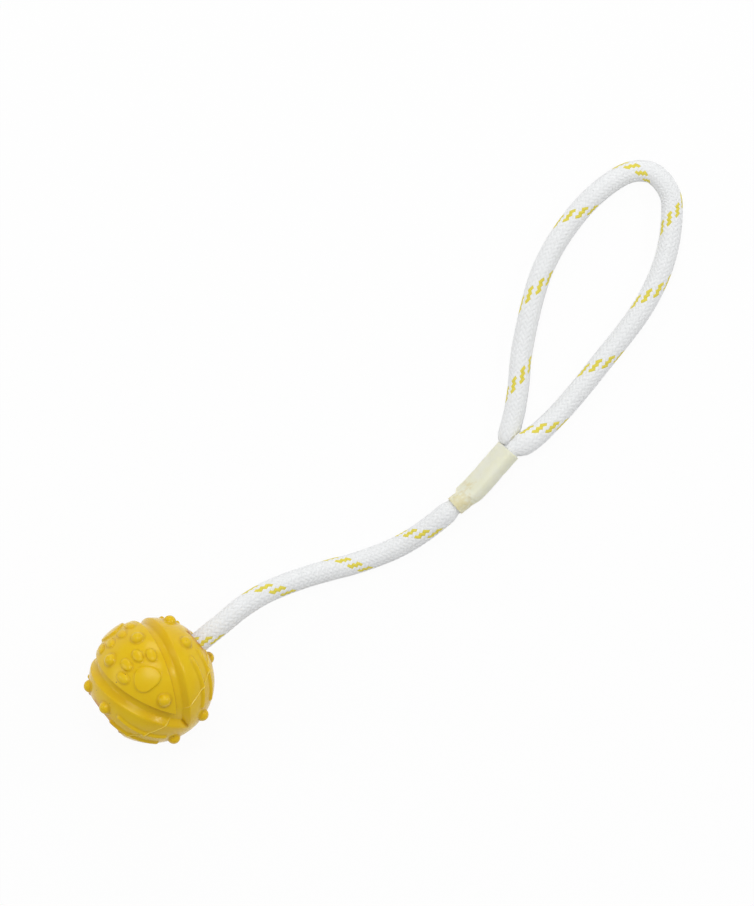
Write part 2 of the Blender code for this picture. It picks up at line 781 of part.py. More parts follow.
def main():
    """Builds the whole toy."""
    clear_scene()
    parts = collection("floating_ball_on_rope")
    cutters = collection("cutters")
    rubber = finish("sponge_rubber", SPONGE_YELLOW, 0.62)
    braid = finish("braided_rope", ROPE_WHITE, 0.85)
    shrink = finish("shrink_sleeve", SLEEVE_CREAM, 0.45)

    toy = added("toy", None, parts)
    toy.location = (ball_offset(), 0, 0)
    centre = added("ball_centre", None, parts, toy)
    centre.location = (0, 0, ball_height())
    relief = added("ball_relief", None, parts, centre)
    relief.rotation_euler = (math.radians(RELIEF_TURN_DEG), 0, 0)
    ball(parts, cutters, relief, rubber)
    bore_rope(parts, centre, braid)
    stopper_knot(parts, centre, braid)
    lead_rope(parts, toy, braid)
    loop_sleeve(parts, toy, shrink)
    sleeve_rope(parts, toy, braid)
    rope_tail(parts, toy, braid)
    hand_loop(parts, toy, braid)


main()
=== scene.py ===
"""Dresses the floating ball on its rope: sponge rubber, braid, shrunk sleeve and studio.

Every length is in metres, in the part's own frame: +X runs along the ball's bore toward the
rope, +Z is up, and the origin is on the floor under the middle of the ball's box.
"""

import logging
import math
from collections.abc import Callable, Sequence
from dataclasses import dataclass, field
from enum import Enum

import bmesh
import bpy
import numpy as np
from mathutils import Matrix, Vector


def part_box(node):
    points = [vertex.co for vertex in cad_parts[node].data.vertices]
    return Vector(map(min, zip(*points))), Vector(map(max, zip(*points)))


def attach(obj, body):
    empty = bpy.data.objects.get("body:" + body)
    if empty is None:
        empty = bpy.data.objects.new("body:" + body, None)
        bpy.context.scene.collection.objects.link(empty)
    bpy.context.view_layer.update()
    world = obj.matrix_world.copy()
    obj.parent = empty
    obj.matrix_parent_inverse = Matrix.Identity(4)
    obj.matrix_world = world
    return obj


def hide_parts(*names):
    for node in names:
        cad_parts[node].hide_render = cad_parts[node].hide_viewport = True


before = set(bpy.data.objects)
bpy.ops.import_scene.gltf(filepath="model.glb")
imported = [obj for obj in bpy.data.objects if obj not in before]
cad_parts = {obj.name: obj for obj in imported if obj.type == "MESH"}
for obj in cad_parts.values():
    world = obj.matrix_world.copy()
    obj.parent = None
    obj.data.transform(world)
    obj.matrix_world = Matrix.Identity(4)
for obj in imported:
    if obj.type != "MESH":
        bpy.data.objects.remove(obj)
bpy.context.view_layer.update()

LOG = logging.getLogger("floating_ball")

Array = np.ndarray
Colour = tuple[float, float, float]
Point = tuple[float, float, float]
Pair = tuple[float, float]
Four = tuple[float, float, float, float]
Piece = bpy.types.Object
Material = bpy.types.Material
Socket = bpy.types.NodeSocket
UP = np.array((0.0, 0.0, 1.0))


class Body(Enum):
    """The moving bodies that pieces ride on."""

    ROPE = "rope"
    ROPE_END = "rope_end"
    BALL = "ball"


class Slot(Enum):
    """The record's material slots."""

    RUBBER = "sponge_rubber"
    BRAID = "braided_rope"
    SLEEVE = "shrink_sleeve"


def math_node(operation: str) -> Callable[..., "Signal"]:
    """Makes a method of Signal.

    Args:
        operation: The Math node's operation.

    Returns:
        A method that adds such a node, with the signal as its first value.
    """
    def method(self: "Signal", *others: "Signal | float") -> "Signal":
        """Adds the node.

        Args:
            *others: The operation's other values.

        Returns:
            The result.
        """
        values = dict(enumerate((self, *others)))
        node = self.graph.add("ShaderNodeMath", values, operation=operation)
        return Signal(self.graph, node.outputs[0])

    return method


class Signal:
    """One shader socket that carries a number; Python's operators on it add Math nodes."""

    def __init__(self, graph: "ShaderGraph", socket: Socket) -> None:
        """Wraps an output socket of the graph."""
        self.graph = graph
        self.socket = socket

    __add__ = __radd__ = math_node("ADD")
    __sub__ = math_node("SUBTRACT")
    __mul__ = __rmul__ = math_node("MULTIPLY")
    __truediv__ = math_node("DIVIDE")
    __mod__ = math_node("FLOORED_MODULO")
    __pow__ = math_node("POWER")
    __abs__ = math_node("ABSOLUTE")
    floor = math_node("FLOOR")
    sine = math_node("SINE")
    above = math_node("GREATER_THAN")
    below = math_node("LESS_THAN")
    most = math_node("MAXIMUM")

    def __rsub__(self, other: float) -> "Signal":
        """The difference, from a plain number."""
        return self * -1.0 + other

    def ramp(self, low: float, high: float) -> "Signal":
        """A smooth rise from zero to one.

        Args:
            low: Where it is zero.
            high: Where it is one, which may be less than low.

        Returns:
            The share of the rise.
        """
        node = self.graph.add(
            "ShaderNodeMapRange", {"Value": self, "From Min": low, "From Max": high},
            interpolation_type="SMOOTHSTEP",
        )
        return Signal(self.graph, node.outputs["Result"])


class ShaderGraph:
    """A material's nodes, with one method that adds any of them."""

    def __init__(self, name: str) -> None:
        """Starts a material that has only its output.

        Args:
            name: The material's name.
        """
        self.material = bpy.data.materials.new(name)
        self.material.use_nodes = True
        self.tree = self.material.node_tree
        self.tree.nodes.clear()
        self.output = self.add("ShaderNodeOutputMaterial")

    def add(
        self, kind: str, sockets: dict[int | str, object] | None = None, **settings: object
    ) -> bpy.types.Node:
        """Adds a node.

        Args:
            kind: The node's type.
            sockets: The values or links of its inputs.
            **settings: Its settings, which are set first.

        Returns:
            The node.
        """
        node = self.tree.nodes.new(kind)
        for key, value in settings.items():
            setattr(node, key, value)
        for key, value in (sockets or {}).items():
            self.connect(node.inputs[key], value)
        return node

    def connect(self, target: Socket, value: object) -> None:
        """Links or sets one input socket.

        Args:
            target: The input socket.
            value: The signal or socket to link, or the value to set.
        """
        if isinstance(value, Signal):
            value = value.socket
        if isinstance(value, Socket):
            self.tree.links.new(value, target)
        elif isinstance(value, tuple) and target.type == "RGBA":
            target.default_value = (*value, 1.0)
        else:
            target.default_value = value

    def noise(self, scale: float, detail: float = 2.0, vector: object = None) -> Signal:
        """Soft noise from zero to one.

        Args:
            scale: How many features there are in a metre, or in a unit of the vector.
            detail: How many finer layers there are.
            vector: The coordinates, which are the piece's own if left out.

        Returns:
            The noise.
        """
        at = self.add("ShaderNodeTexCoord").outputs["Object"] if vector is None else vector
        node = self.add("ShaderNodeTexNoise", {"Vector": at, "Scale": scale, "Detail": detail})
        return Signal(self, node.outputs["Fac"])

    def vector(self, x: object, y: object, z: object = 0.0) -> Socket:
        """A vector of three numbers."""
        return self.add("ShaderNodeCombineXYZ", {0: x, 1: y, 2: z}).outputs[0]

    def mix(self, share: object, first: object, second: object) -> Socket:
        """A colour between two others."""
        return self.add("ShaderNodeMix", {0: share, 6: first, 7: second}, data_type="RGBA").outputs[2]

    def parts(self, attribute: str) -> list[Signal]:
        """The three numbers of a mesh attribute.

        Args:
            attribute: The attribute's name.

        Returns:
            The three numbers, in order.
        """
        source = self.add("ShaderNodeAttribute", attribute_name=attribute)
        split = self.add("ShaderNodeSeparateXYZ", {0: source.outputs["Vector"]})
        return [Signal(self, out) for out in split.outputs]

    def bump(self, height: object, distance: float) -> Socket:
        """A normal that follows a height; the distance is how high one is, in metres."""
        return self.add("ShaderNodeBump", {"Height": height, "Distance": distance}).outputs[0]

    def surface(self, sockets: dict[int | str, object]) -> Material:
        """Ends the material in a Principled shader; subsurface radii are in metres.

        Args:
            sockets: The values or links of the shader's inputs.

        Returns:
            The material.
        """
        shader = self.add("ShaderNodeBsdfPrincipled", {"Subsurface Scale": 1.0, **sockets})
        self.connect(self.output.inputs["Surface"], shader.outputs[0])
        return self.material


def eased(value: object, low: float, high: float) -> Array:
    """From 0 at low to 1 at high, with a gentle start and end."""
    t = np.clip((np.asarray(value, float) - low) / (high - low), 0.0, 1.0)
    return t * t * (3 - 2 * t)


def smooth_least(a: Array, b: Array, blend: float) -> Array:
    """The lesser of two distances, with the corner between them rounded over the blend."""
    near = np.maximum(blend - np.abs(a - b), 0.0) / blend
    return np.minimum(a, b) - near * near * blend / 4


def smooth_most(a: Array, b: Array, blend: float) -> Array:
    """The larger of two distances, with the corner between them rounded over the blend."""
    return -smooth_least(-a, -b, blend)


def lengths_along(line: Array) -> Array:
    """How far along the line each of its points is."""
    steps = np.linalg.norm(np.diff(line, axis=0), axis=1)
    return np.concatenate(([0.0], np.cumsum(steps)))


def unit(vectors: Array) -> Array:
    """The vectors, each of length one."""
    return vectors / np.linalg.norm(vectors, axis=-1, keepdims=True)


def smooth_line(points: Sequence[Sequence[float]], step: float) -> Array:
    """Points about a step apart on a smooth curve through the route's own points.

    Args:
        points: The route's own points.
        step: The spacing that is aimed at.

    Returns:
        The line's points, evenly spaced.
    """
    route = np.array(points, float)
    route = np.vstack((2 * route[0] - route[1], route, 2 * route[-1] - route[-2]))
    parts = 24
    t = (np.arange(parts) / parts)[:, None]
    fine = []
    for before, start, end, after in zip(route, route[1:], route[2:], route[3:], strict=False):
        fine.append(0.5 * (
            2 * start
            + (end - before) * t
            + (2 * before - 5 * start + 4 * end - after) * t**2
            + (3 * start - before - 3 * end + after) * t**3
        ))
    fine = np.vstack((*fine, route[-2]))
    along = lengths_along(fine)
    count = max(2, math.ceil(along[-1] / step))
    stops = np.linspace(0, along[-1], count + 1)
    return np.column_stack([np.interp(stops, along, fine[:, k]) for k in range(3)])


def placed(name: str, data: bpy.types.ID) -> Piece:
    """A new object with this data, in the scene.

    Args:
        name: The object's name.
        data: Its mesh, camera or lamp.

    Returns:
        The object.
    """
    made = bpy.data.objects.new(name, data)
    bpy.context.scene.collection.objects.link(made)
    return made


def mesh_piece(name: str, points: Array, faces: Sequence[Sequence[int]]) -> Piece:
    """A new smooth-shaded mesh object in the scene.

    Args:
        name: The object's name.
        points: The mesh's points.
        faces: The points of each face.

    Returns:
        The object.
    """
    data = bpy.data.meshes.new(name)
    data.from_pydata([tuple(p) for p in points], [], [tuple(f) for f in faces])
    data.update()
    data.shade_smooth()
    return placed(name, data)


def keep(piece: Piece, name: str, domain: str, values: Array) -> None:
    """Keeps three numbers at each corner or point of a mesh, for its material to read."""
    layer = piece.data.attributes.new(name, "FLOAT_VECTOR", domain)
    layer.data.foreach_set("vector", values.astype(np.float32).ravel())


def dress(piece: Piece, material: Material, body: Body, node: str = "") -> None:
    """Gives a piece its finish, its body and the CAD node that it replaces.

    Args:
        piece: The piece.
        material: Its finish.
        body: The body that it rides on.
        node: The CAD node that it replaces, if it replaces one.
    """
    piece.data.materials.append(material)
    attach(piece, body.value)
    if node:
        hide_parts(node)
    LOG.info("%s: %d faces", piece.name, len(piece.data.polygons))


def tube_faces(rows: int, sides: int) -> Array:
    """The four corners of each face of an open tube, whose points are numbered ring by ring.

    Args:
        rows: How many rings there are.
        sides: How many points a ring has.

    Returns:
        The points of each face.
    """
    column = np.arange(sides)
    after = (column + 1) % sides
    start = (np.arange(rows - 1) * sides)[:, None]
    corners = (start + column, start + after, start + sides + after, start + sides + column)
    return np.stack(corners, axis=-1).reshape(-1, 4)


@dataclass(frozen=True)
class Braid:
    """A hollow braid of 16 strands each way, each over two and under two of the others."""

    strands: int = 16
    pitch: float = 0.0400
    lift: float = 0.00016
    crown: float = 0.00020
    tracer_strands: int = 3
    blur_reach: float = 0.016
    blur_steps: int = 41
    far_turns: int = 9

    def travel(self, along: Array, marks: Sequence[float]) -> Array:
        """How many turns the strands have made by each distance along a rope.

        Args:
            along: The distances.
            marks: The distances at which the tracer crosses the rope's top.

        Returns:
            The turns, which rise by one from mark to mark.
        """
        first, last = marks[0] - self.pitch, marks[-1] + self.pitch
        beyond = self.far_turns * self.pitch
        stops = np.array((first - beyond, first, *marks, last, last + beyond))
        turns = np.array(
            (-self.far_turns, *range(len(marks) + 2), len(marks) + 1 + self.far_turns), float
        )
        window = np.hanning(self.blur_steps)
        reach = np.linspace(-self.blur_reach, self.blur_reach, self.blur_steps)
        spread = np.interp(np.asarray(along)[:, None] + reach, stops, turns)
        return spread @ window / window.sum() - self.tracer_strands / 2 / self.strands

    def coordinates(self, turn: Array, travel: Array) -> tuple[Array, Array]:
        """Where a place on the rope is among the strands of both ways.

        Args:
            turn: Its angle round the rope, in turns from the top toward the right side.
            travel: How many turns the strands have made there.

        Returns:
            Its strand number among the strands that turn right, and among those that turn left.
        """
        return self.strands * (turn - travel), self.strands * (turn + travel)

    def relief(self, sides: int, travel: Array) -> Array:
        """How far the strands stand out of a tube's mean surface at each of its points."""
        right, left = self.coordinates(np.arange(sides) / sides, travel[:, None])
        return np.maximum(self._strand(right, left, 1), self._strand(left, right, -1)) - self.crown

    def _strand(self, own: Array, other: Array, sign: int) -> Array:
        """How high one way's strands stand: over two others, under two, each with a round back.

        Args:
            own: The strand numbers among this way's own strands.
            other: The strand numbers among the other way's.
            sign: One for the way that starts on top, and minus one for the other.

        Returns:
            The heights.
        """
        raised = sign * self.lift * np.sin(np.pi * np.mod(other + np.floor(own), 4) / 2)
        across = 2 * np.mod(own, 1) - 1
        return raised + self.crown * np.sqrt(np.maximum(1 - across * across, 0))

    def number(
        self, piece: Piece, faces: Array, sides: int, along: Array, travel: Array, caps: int = 0
    ) -> tuple[Array, Array]:
        """Keeps (right strand, left strand, distance along) at each corner of a tube's faces.

        Args:
            piece: The tube, or several of the same shape in one piece.
            faces: The points of each four-cornered face.
            sides: How many points a ring has.
            along: How far along each ring is.
            travel: How many turns the strands have made at each ring.
            caps: How many corners follow that belong to caps.

        Returns:
            The ring of each corner, and its angle in turns, which ends at one and not at zero.
        """
        row, column = np.divmod(faces, sides)
        row = row % len(along)
        wraps = (np.ptp(column, axis=1)[:, None] > sides / 2) & (column < sides / 2)
        turn = (column + sides * wraps) / sides
        values = np.stack((*self.coordinates(turn, travel[row]), along[row]), axis=-1)
        middle = np.tile((self.strands / 2, self.strands / 2, 0.0), (caps, 1))
        keep(piece, "braid", "CORNER", np.vstack((values.reshape(-1, 3), middle)))
        return row, turn


@dataclass
class RopeStretch:
    """A stretch of braided rope along a line, with a radius sideways and one upward."""

    name: str
    line: Array
    side_radius: Array | float
    up_radius: Array | float
    braid: Braid
    tracer_marks: tuple[float, ...] = (0.0,)
    sides: int = 96
    girth: float = 0.032
    strip_margin: float = 0.01
    caps_at: float = 0.999
    along: Array = field(init=False)
    travel: Array = field(init=False)

    def __post_init__(self) -> None:
        """Measures the line and the turns of its strands."""
        self.along = lengths_along(self.line)
        self.travel = self.braid.travel(self.along, self.tracer_marks)

    @property
    def length(self) -> float:
        """The stretch's whole length."""
        return float(self.along[-1])

    def _frames(self) -> tuple[Array, Array]:
        """The directions up and to the right at each point, carried along without twist.

        Returns:
            The directions up, and the directions to the right.
        """
        ahead = unit(np.gradient(self.line, axis=0))
        up = UP
        ups = []
        for direction in ahead:
            up = unit(up - direction * up.dot(direction))
            ups.append(up)
        return np.array(ups), np.cross(ahead, ups)

    def mesh(self) -> Piece:
        """Builds the tube above the floor, its braid raised on it and its strands numbered.

        Returns:
            The tube.
        """
        ups, rights = self._frames()
        angle = 2 * np.pi * np.arange(self.sides) / self.sides
        raised = self.braid.relief(self.sides, self.travel)
        across = np.reshape(self.side_radius, (-1, 1)) + raised
        tall = np.reshape(self.up_radius, (-1, 1)) + raised
        points = (
            self.line[:, None, :]
            + (tall * np.cos(angle))[:, :, None] * ups[:, None, :]
            + (across * np.sin(angle))[:, :, None] * rights[:, None, :]
        )
        points[:, :, 2] = np.maximum(points[:, :, 2], 0.0)
        rows = len(self.line)
        quads = tube_faces(rows, self.sides)
        ring = np.arange(self.sides)
        caps = [ring[::-1].tolist(), (ring + (rows - 1) * self.sides).tolist()]
        made = mesh_piece(self.name, points.reshape(-1, 3), quads.tolist() + caps)
        ends = 2 * self.sides
        self._unroll(made, *self.braid.number(made, quads, self.sides, self.along, self.travel, ends))
        return made

    def _unroll(self, made: Piece, row: Array, turn: Array) -> None:
        """Lays the tube out flat, as a few strips side by side, for textures made from it.

        Args:
            made: The tube.
            row: The ring of each corner of its long faces.
            turn: The corner's angle, in turns.
        """
        strips = max(1, round(math.sqrt(self.length / self.girth)))
        per_strip = math.ceil((len(self.line) - 1) / strips)
        strip = row[:, :1] // per_strip
        u = (row - strip * per_strip) / per_strip
        v = (strip + self.strip_margin + (1 - 2 * self.strip_margin) * turn) / strips
        caps = np.full((2 * self.sides, 2), self.caps_at)
        flat = np.vstack((np.stack((u, v), axis=-1).reshape(-1, 2), caps))
        layer = made.data.uv_layers.new(name="OFBake", do_init=False)
        layer.uv.foreach_set("vector", flat.astype(np.float32).ravel())


@dataclass(frozen=True)
class BraidedRope:
    """White braid with one group of yellow tracer strands, with painted shade between strands."""

    white: Colour = (0.813, 0.823, 0.828)
    crevice_shade: Colour = (0.62, 0.63, 0.645)
    tracer: Colour = (0.735, 0.635, 0.085)
    roughness: float = 0.78
    fibres_across: float = 11.0
    fibres_along: float = 0.55
    fibre_tone: float = 0.22
    patches_per_metre: float = 90.0
    patch_tone: float = 0.05
    # Where the painted shade between strands gives way to their own tone, in shares of a strand's
    # crown.
    crevice_shade_span: Pair = (-0.25, 0.8)
    # How dark the painted shade between strands makes the tracer, as a share of its colour.
    tracer_crevice_shade: float = 0.74
    strand_relief: float = 0.8
    fibre_relief: float = 0.5
    bump: float = 0.00013

    def material(self, braid: Braid) -> Material:
        """Makes the material for a mesh that carries its strand numbers.

        Args:
            braid: The braid that the mesh follows.

        Returns:
            The material.
        """
        graph = ShaderGraph("braided_rope")
        right, left, _ = graph.parts("braid")
        height_right = self._strand(right, left, braid, 1.0)
        height_left = self._strand(left, right, braid, -1.0)
        on_right = height_right.above(height_left)
        top = height_right.most(height_left)

        fibre_right, fibre_left = (
            graph.noise(1.0, 3.0, graph.vector(
                across * self.fibres_across, along * self.fibres_along, layer,
            ))
            for across, along, layer in ((right, left, 3.1), (left, right, 8.7))
        )
        fibre = fibre_right * on_right + fibre_left * (1 - on_right)

        is_tracer = (right % braid.strands).below(float(braid.tracer_strands)) * on_right
        # Painted shade: the colour darkens toward the crevices, where a strand's top sinks.
        depth = top.ramp(*(share * braid.crown for share in self.crevice_shade_span))
        patch = graph.noise(self.patches_per_metre, 2.0)
        plain = graph.mix(depth, self.crevice_shade, self.white)
        dyed = graph.mix(depth, tuple(self.tracer_crevice_shade * c for c in self.tracer), self.tracer)
        colour = graph.mix(is_tracer, plain, dyed)
        tone = (fibre - 0.5) * self.fibre_tone + (patch - 0.5) * self.patch_tone + 1.0
        tones = graph.vector(tone, tone, tone)
        shaded = graph.add("ShaderNodeVectorMath", {0: colour, 1: tones}, operation="MULTIPLY")
        strands = top * (1 / braid.crown) * self.strand_relief
        relief = strands + (fibre - 0.5) * self.fibre_relief
        return graph.surface({
            "Base Color": shaded.outputs[0],
            "Roughness": self.roughness,
            "Specular IOR Level": 0.25,
            "Sheen Weight": 0.12,
            "Sheen Roughness": 0.5,
            "Subsurface Weight": 0.12,
            "Subsurface Radius": (0.0012, 0.0012, 0.0012),
            "Normal": graph.bump(relief, self.bump),
        })

    @staticmethod
    def _strand(own: Signal, other: Signal, braid: Braid, sign: float) -> Signal:
        """How high one way's strands stand.

        Args:
            own: The strand numbers among this way's own strands.
            other: The strand numbers among the other way's.
            braid: The braid.
            sign: One for the way that starts on top, and minus one for the other.

        Returns:
            The height.
        """
        phase = (other + own.floor()) % 4.0
        raised = (phase * (math.pi / 2)).sine() * (sign * braid.lift)
        across = (own % 1.0) * 2.0 - 1.0
        return raised + (1 - across * across).most(0.0) ** 0.5 * braid.crown


@dataclass(frozen=True)
class SpongeRubber:
    """Satin yellow sponge rubber: fine grain, patches of tone, pinholes and reddish-brown rims."""

    lit: Colour = (0.742, 0.503, 0.007)
    deep: Colour = (0.715, 0.450, 0.003)
    # Painted shade: the near-black inside each pinhole.
    shaded_pinhole: Colour = (0.10, 0.055, 0.010)
    # A reddish-brown colour round the rims of the rope's mouth and of the knot's pocket.
    rim_brown: Colour = (0.50, 0.175, 0.010)
    # Painted highlight: a lighter colour on the parting ridge's crest.
    flash_highlight: Colour = (0.86, 0.68, 0.10)
    # Painted shade: a darker, deeper yellow in the corners of the relief.
    crevice_shade: Colour = (0.47, 0.235, 0.002)
    gloss_tint: Colour = (1.0, 0.94, 0.72)
    roughness: float = 0.21
    patches_per_metre: float = 70.0
    mottles_per_metre: float = 700.0
    grains_per_metre: float = 2600.0
    holes_per_metre: float = 170.0
    hole_share: float = 0.050
    hole_sharpness: float = 0.6
    crease_shade_tone: float = 0.68
    rim_tone: float = 0.8
    rim_wander: float = 0.0030
    rim_fade: Pair = (0.0038, 0.0006)
    rim_shares: Pair = (0.78, 0.84)
    rim_patches: Pair = (0.42, 0.54)
    pocket_rim: float = 0.0008
    flash_highlight_tone: float = 0.9
    patch_share: float = 1.6
    mottle_share: float = 0.35
    patch_gloss: float = 0.16
    grain_gloss: float = 0.10
    grain_relief: float = 0.08
    mottle_relief: float = 0.08
    hole_relief: float = 0.8
    bump: float = 0.00015

    def material(self, shape: "BallShape") -> Material:
        """Makes the material for a mesh that carries its places in the mould.

        Args:
            shape: The ball's form, whose cut rims are a little reddish-brown.

        Returns:
            The material.
        """
        graph = ShaderGraph("sponge_rubber")
        axial, side, height = graph.parts("mould")
        at = graph.vector(axial, side, height)
        patches = graph.noise(self.patches_per_metre, 3.0, at)
        mottle = graph.noise(self.mottles_per_metre, 2.0, at)
        grain = graph.noise(self.grains_per_metre, 2.0, at)
        holes = graph.add("ShaderNodeTexVoronoi", {"Vector": at, "Scale": self.holes_per_metre})
        reach = Signal(graph, holes.outputs["Distance"])
        shaded_pinhole = reach.ramp(self.hole_share, self.hole_share * self.hole_sharpness)
        flash_highlight, crease_shade, _ = graph.parts("relief")
        share = (patches - 0.5) * self.patch_share + (mottle - 0.5) * self.mottle_share + 0.5
        tone = graph.mix(share.ramp(0.0, 1.0), self.deep, self.lit)
        # Painted shade in the relief's corners, as deep as they are closed in.
        tone = graph.mix(crease_shade * self.crease_shade_tone, tone, self.crevice_shade)
        from_axis = (side * side + height * height) ** 0.5
        rims = self._rims(shape, axial, from_axis, patches)
        tone = graph.mix(rims * self.rim_tone, tone, self.rim_brown)
        # Painted highlight along the parting ridge.
        tone = graph.mix(flash_highlight * self.flash_highlight_tone, tone, self.flash_highlight)
        # Painted shade fills the pinholes.
        colour = graph.mix(shaded_pinhole, tone, self.shaded_pinhole)
        gloss = (patches - 0.5) * self.patch_gloss + (grain - 0.5) * self.grain_gloss
        cells = (grain - 0.5) * self.grain_relief + (mottle - 0.5) * self.mottle_relief
        relief = cells - shaded_pinhole * self.hole_relief
        return graph.surface({
            "Base Color": colour,
            "Roughness": gloss + self.roughness,
            "Specular IOR Level": 0.34,
            "Specular Tint": self.gloss_tint,
            "Subsurface Weight": 0.06,
            "Subsurface Radius": (0.0016, 0.0008, 0.0001),
            "Normal": graph.bump(relief, self.bump),
        })

    def _rims(
        self, shape: "BallShape", axial: Signal, from_axis: Signal, patches: Signal
    ) -> Signal:
        """One on the reddish-brown rims of the rope's mouth and of the knot's pocket.

        Args:
            shape: The ball's form.
            axial: The distance along the bore's axis.
            from_axis: The distance from that axis.
            patches: The noise that breaks the marks up.

        Returns:
            The marks.
        """
        wander = (patches - 0.5) * self.rim_wander
        marks = 0.0
        pocket = shape.pocket_radius + self.pocket_rim
        for radius, end in ((shape.land_radius, 1.0), (pocket, -1.0)):
            off = abs(from_axis + wander - radius)
            there = (axial * end).ramp(*(shape.radius * share for share in self.rim_shares))
            marks = off.ramp(*self.rim_fade) * there + marks
        return marks * patches.ramp(*self.rim_patches)


@dataclass(frozen=True)
class ShrinkSleeve:
    """Milky cream shrunk plastic, faintly marked by the braid under it and stained at its end."""

    cream: Colour = (0.82, 0.81, 0.585)
    pale: Colour = (0.83, 0.82, 0.645)
    stain: Colour = (0.76, 0.68, 0.40)
    roughness: float = 0.40
    spot_turn: float = 0.02
    spot_along: float = 0.0128
    spot_fade: Pair = (1.5, 0.3)
    end_fade: Pair = (0.016, 0.002)
    end_stain: float = 0.26
    spot_stain: float = 0.24
    # How much the spot's distance round the sleeve, squared, and the one along it count.
    spot_weights: Pair = (400.0, 300.0)
    speck_share: float = 0.6
    cloud_share: float = 0.4
    stain_span: Pair = (0.58, 0.88)
    cloud_tone: float = 2.2
    weave_tone: float = 0.12
    cloud_gloss: float = 0.2
    weave_relief: float = 0.5
    speck_relief: float = 0.5
    clouds_per_metre: float = 160.0
    specks_per_metre: float = 520.0
    bump: float = 0.00012

    def material(self, braid: Braid) -> Material:
        """Makes the material for a mesh that carries the strand numbers of the rope under it.

        Args:
            braid: The braid of the rope under the sleeve.

        Returns:
            The material.
        """
        graph = ShaderGraph("shrink_sleeve")
        right, left, along = graph.parts("braid")
        weave = ((right * (2 * math.pi)).sine() + (left * (2 * math.pi)).sine()) * 0.25 + 0.5
        cloud = graph.noise(self.clouds_per_metre, 3.0)
        speck = graph.noise(self.specks_per_metre, 3.0)
        near_end = along.ramp(*self.end_fade) * self.end_stain
        round_it = ((right + left) / (2.0 * braid.strands) + (0.5 - self.spot_turn)) % 1.0 - 0.5
        around, lengthwise = self.spot_weights
        beside = ((along - self.spot_along) * lengthwise) ** 2.0
        off_spot = (round_it * round_it * around + beside) ** 0.5
        spot = off_spot.ramp(*self.spot_fade) * self.spot_stain
        noise = speck * self.speck_share + cloud * self.cloud_share
        stained = (noise + near_end + spot).ramp(*self.stain_span)
        share = ((cloud - 0.5) * self.cloud_tone + 0.5 + weave * self.weave_tone).ramp(0.0, 1.0)
        colour = graph.mix(stained, graph.mix(share, self.cream, self.pale), self.stain)
        relief = weave * self.weave_relief + (speck - 0.5) * self.speck_relief
        return graph.surface({
            "Base Color": colour,
            "Roughness": (cloud - 0.5) * self.cloud_gloss + self.roughness,
            "Specular IOR Level": 0.45,
            "Subsurface Weight": 0.35,
            "Subsurface Radius": (0.0030, 0.0028, 0.0018),
            "Normal": graph.bump(relief, self.bump),
        })


@dataclass(frozen=True)
class SealedEnd:
    """Braid melted to a hard skin where the rope was cut with heat."""

    melted: Colour = (0.70, 0.69, 0.60)
    scorched: Colour = (0.42, 0.36, 0.22)
    blots_per_metre: float = 900.0
    blot_span: Pair = (0.52, 0.75)
    blot_gloss: float = 0.3
    roughness: float = 0.45
    bump: float = 0.0003

    def material(self) -> Material:
        """Makes the material.

        Returns:
            The material.
        """
        graph = ShaderGraph("sealed_end")
        blot = graph.noise(self.blots_per_metre, 3.0)
        return graph.surface({
            "Base Color": graph.mix(blot.ramp(*self.blot_span), self.melted, self.scorched),
            "Roughness": (blot - 0.5) * self.blot_gloss + self.roughness,
            "Subsurface Weight": 0.2,
            "Subsurface Radius": (0.001, 0.001, 0.0008),
            "Normal": graph.bump(blot, self.bump),
        })


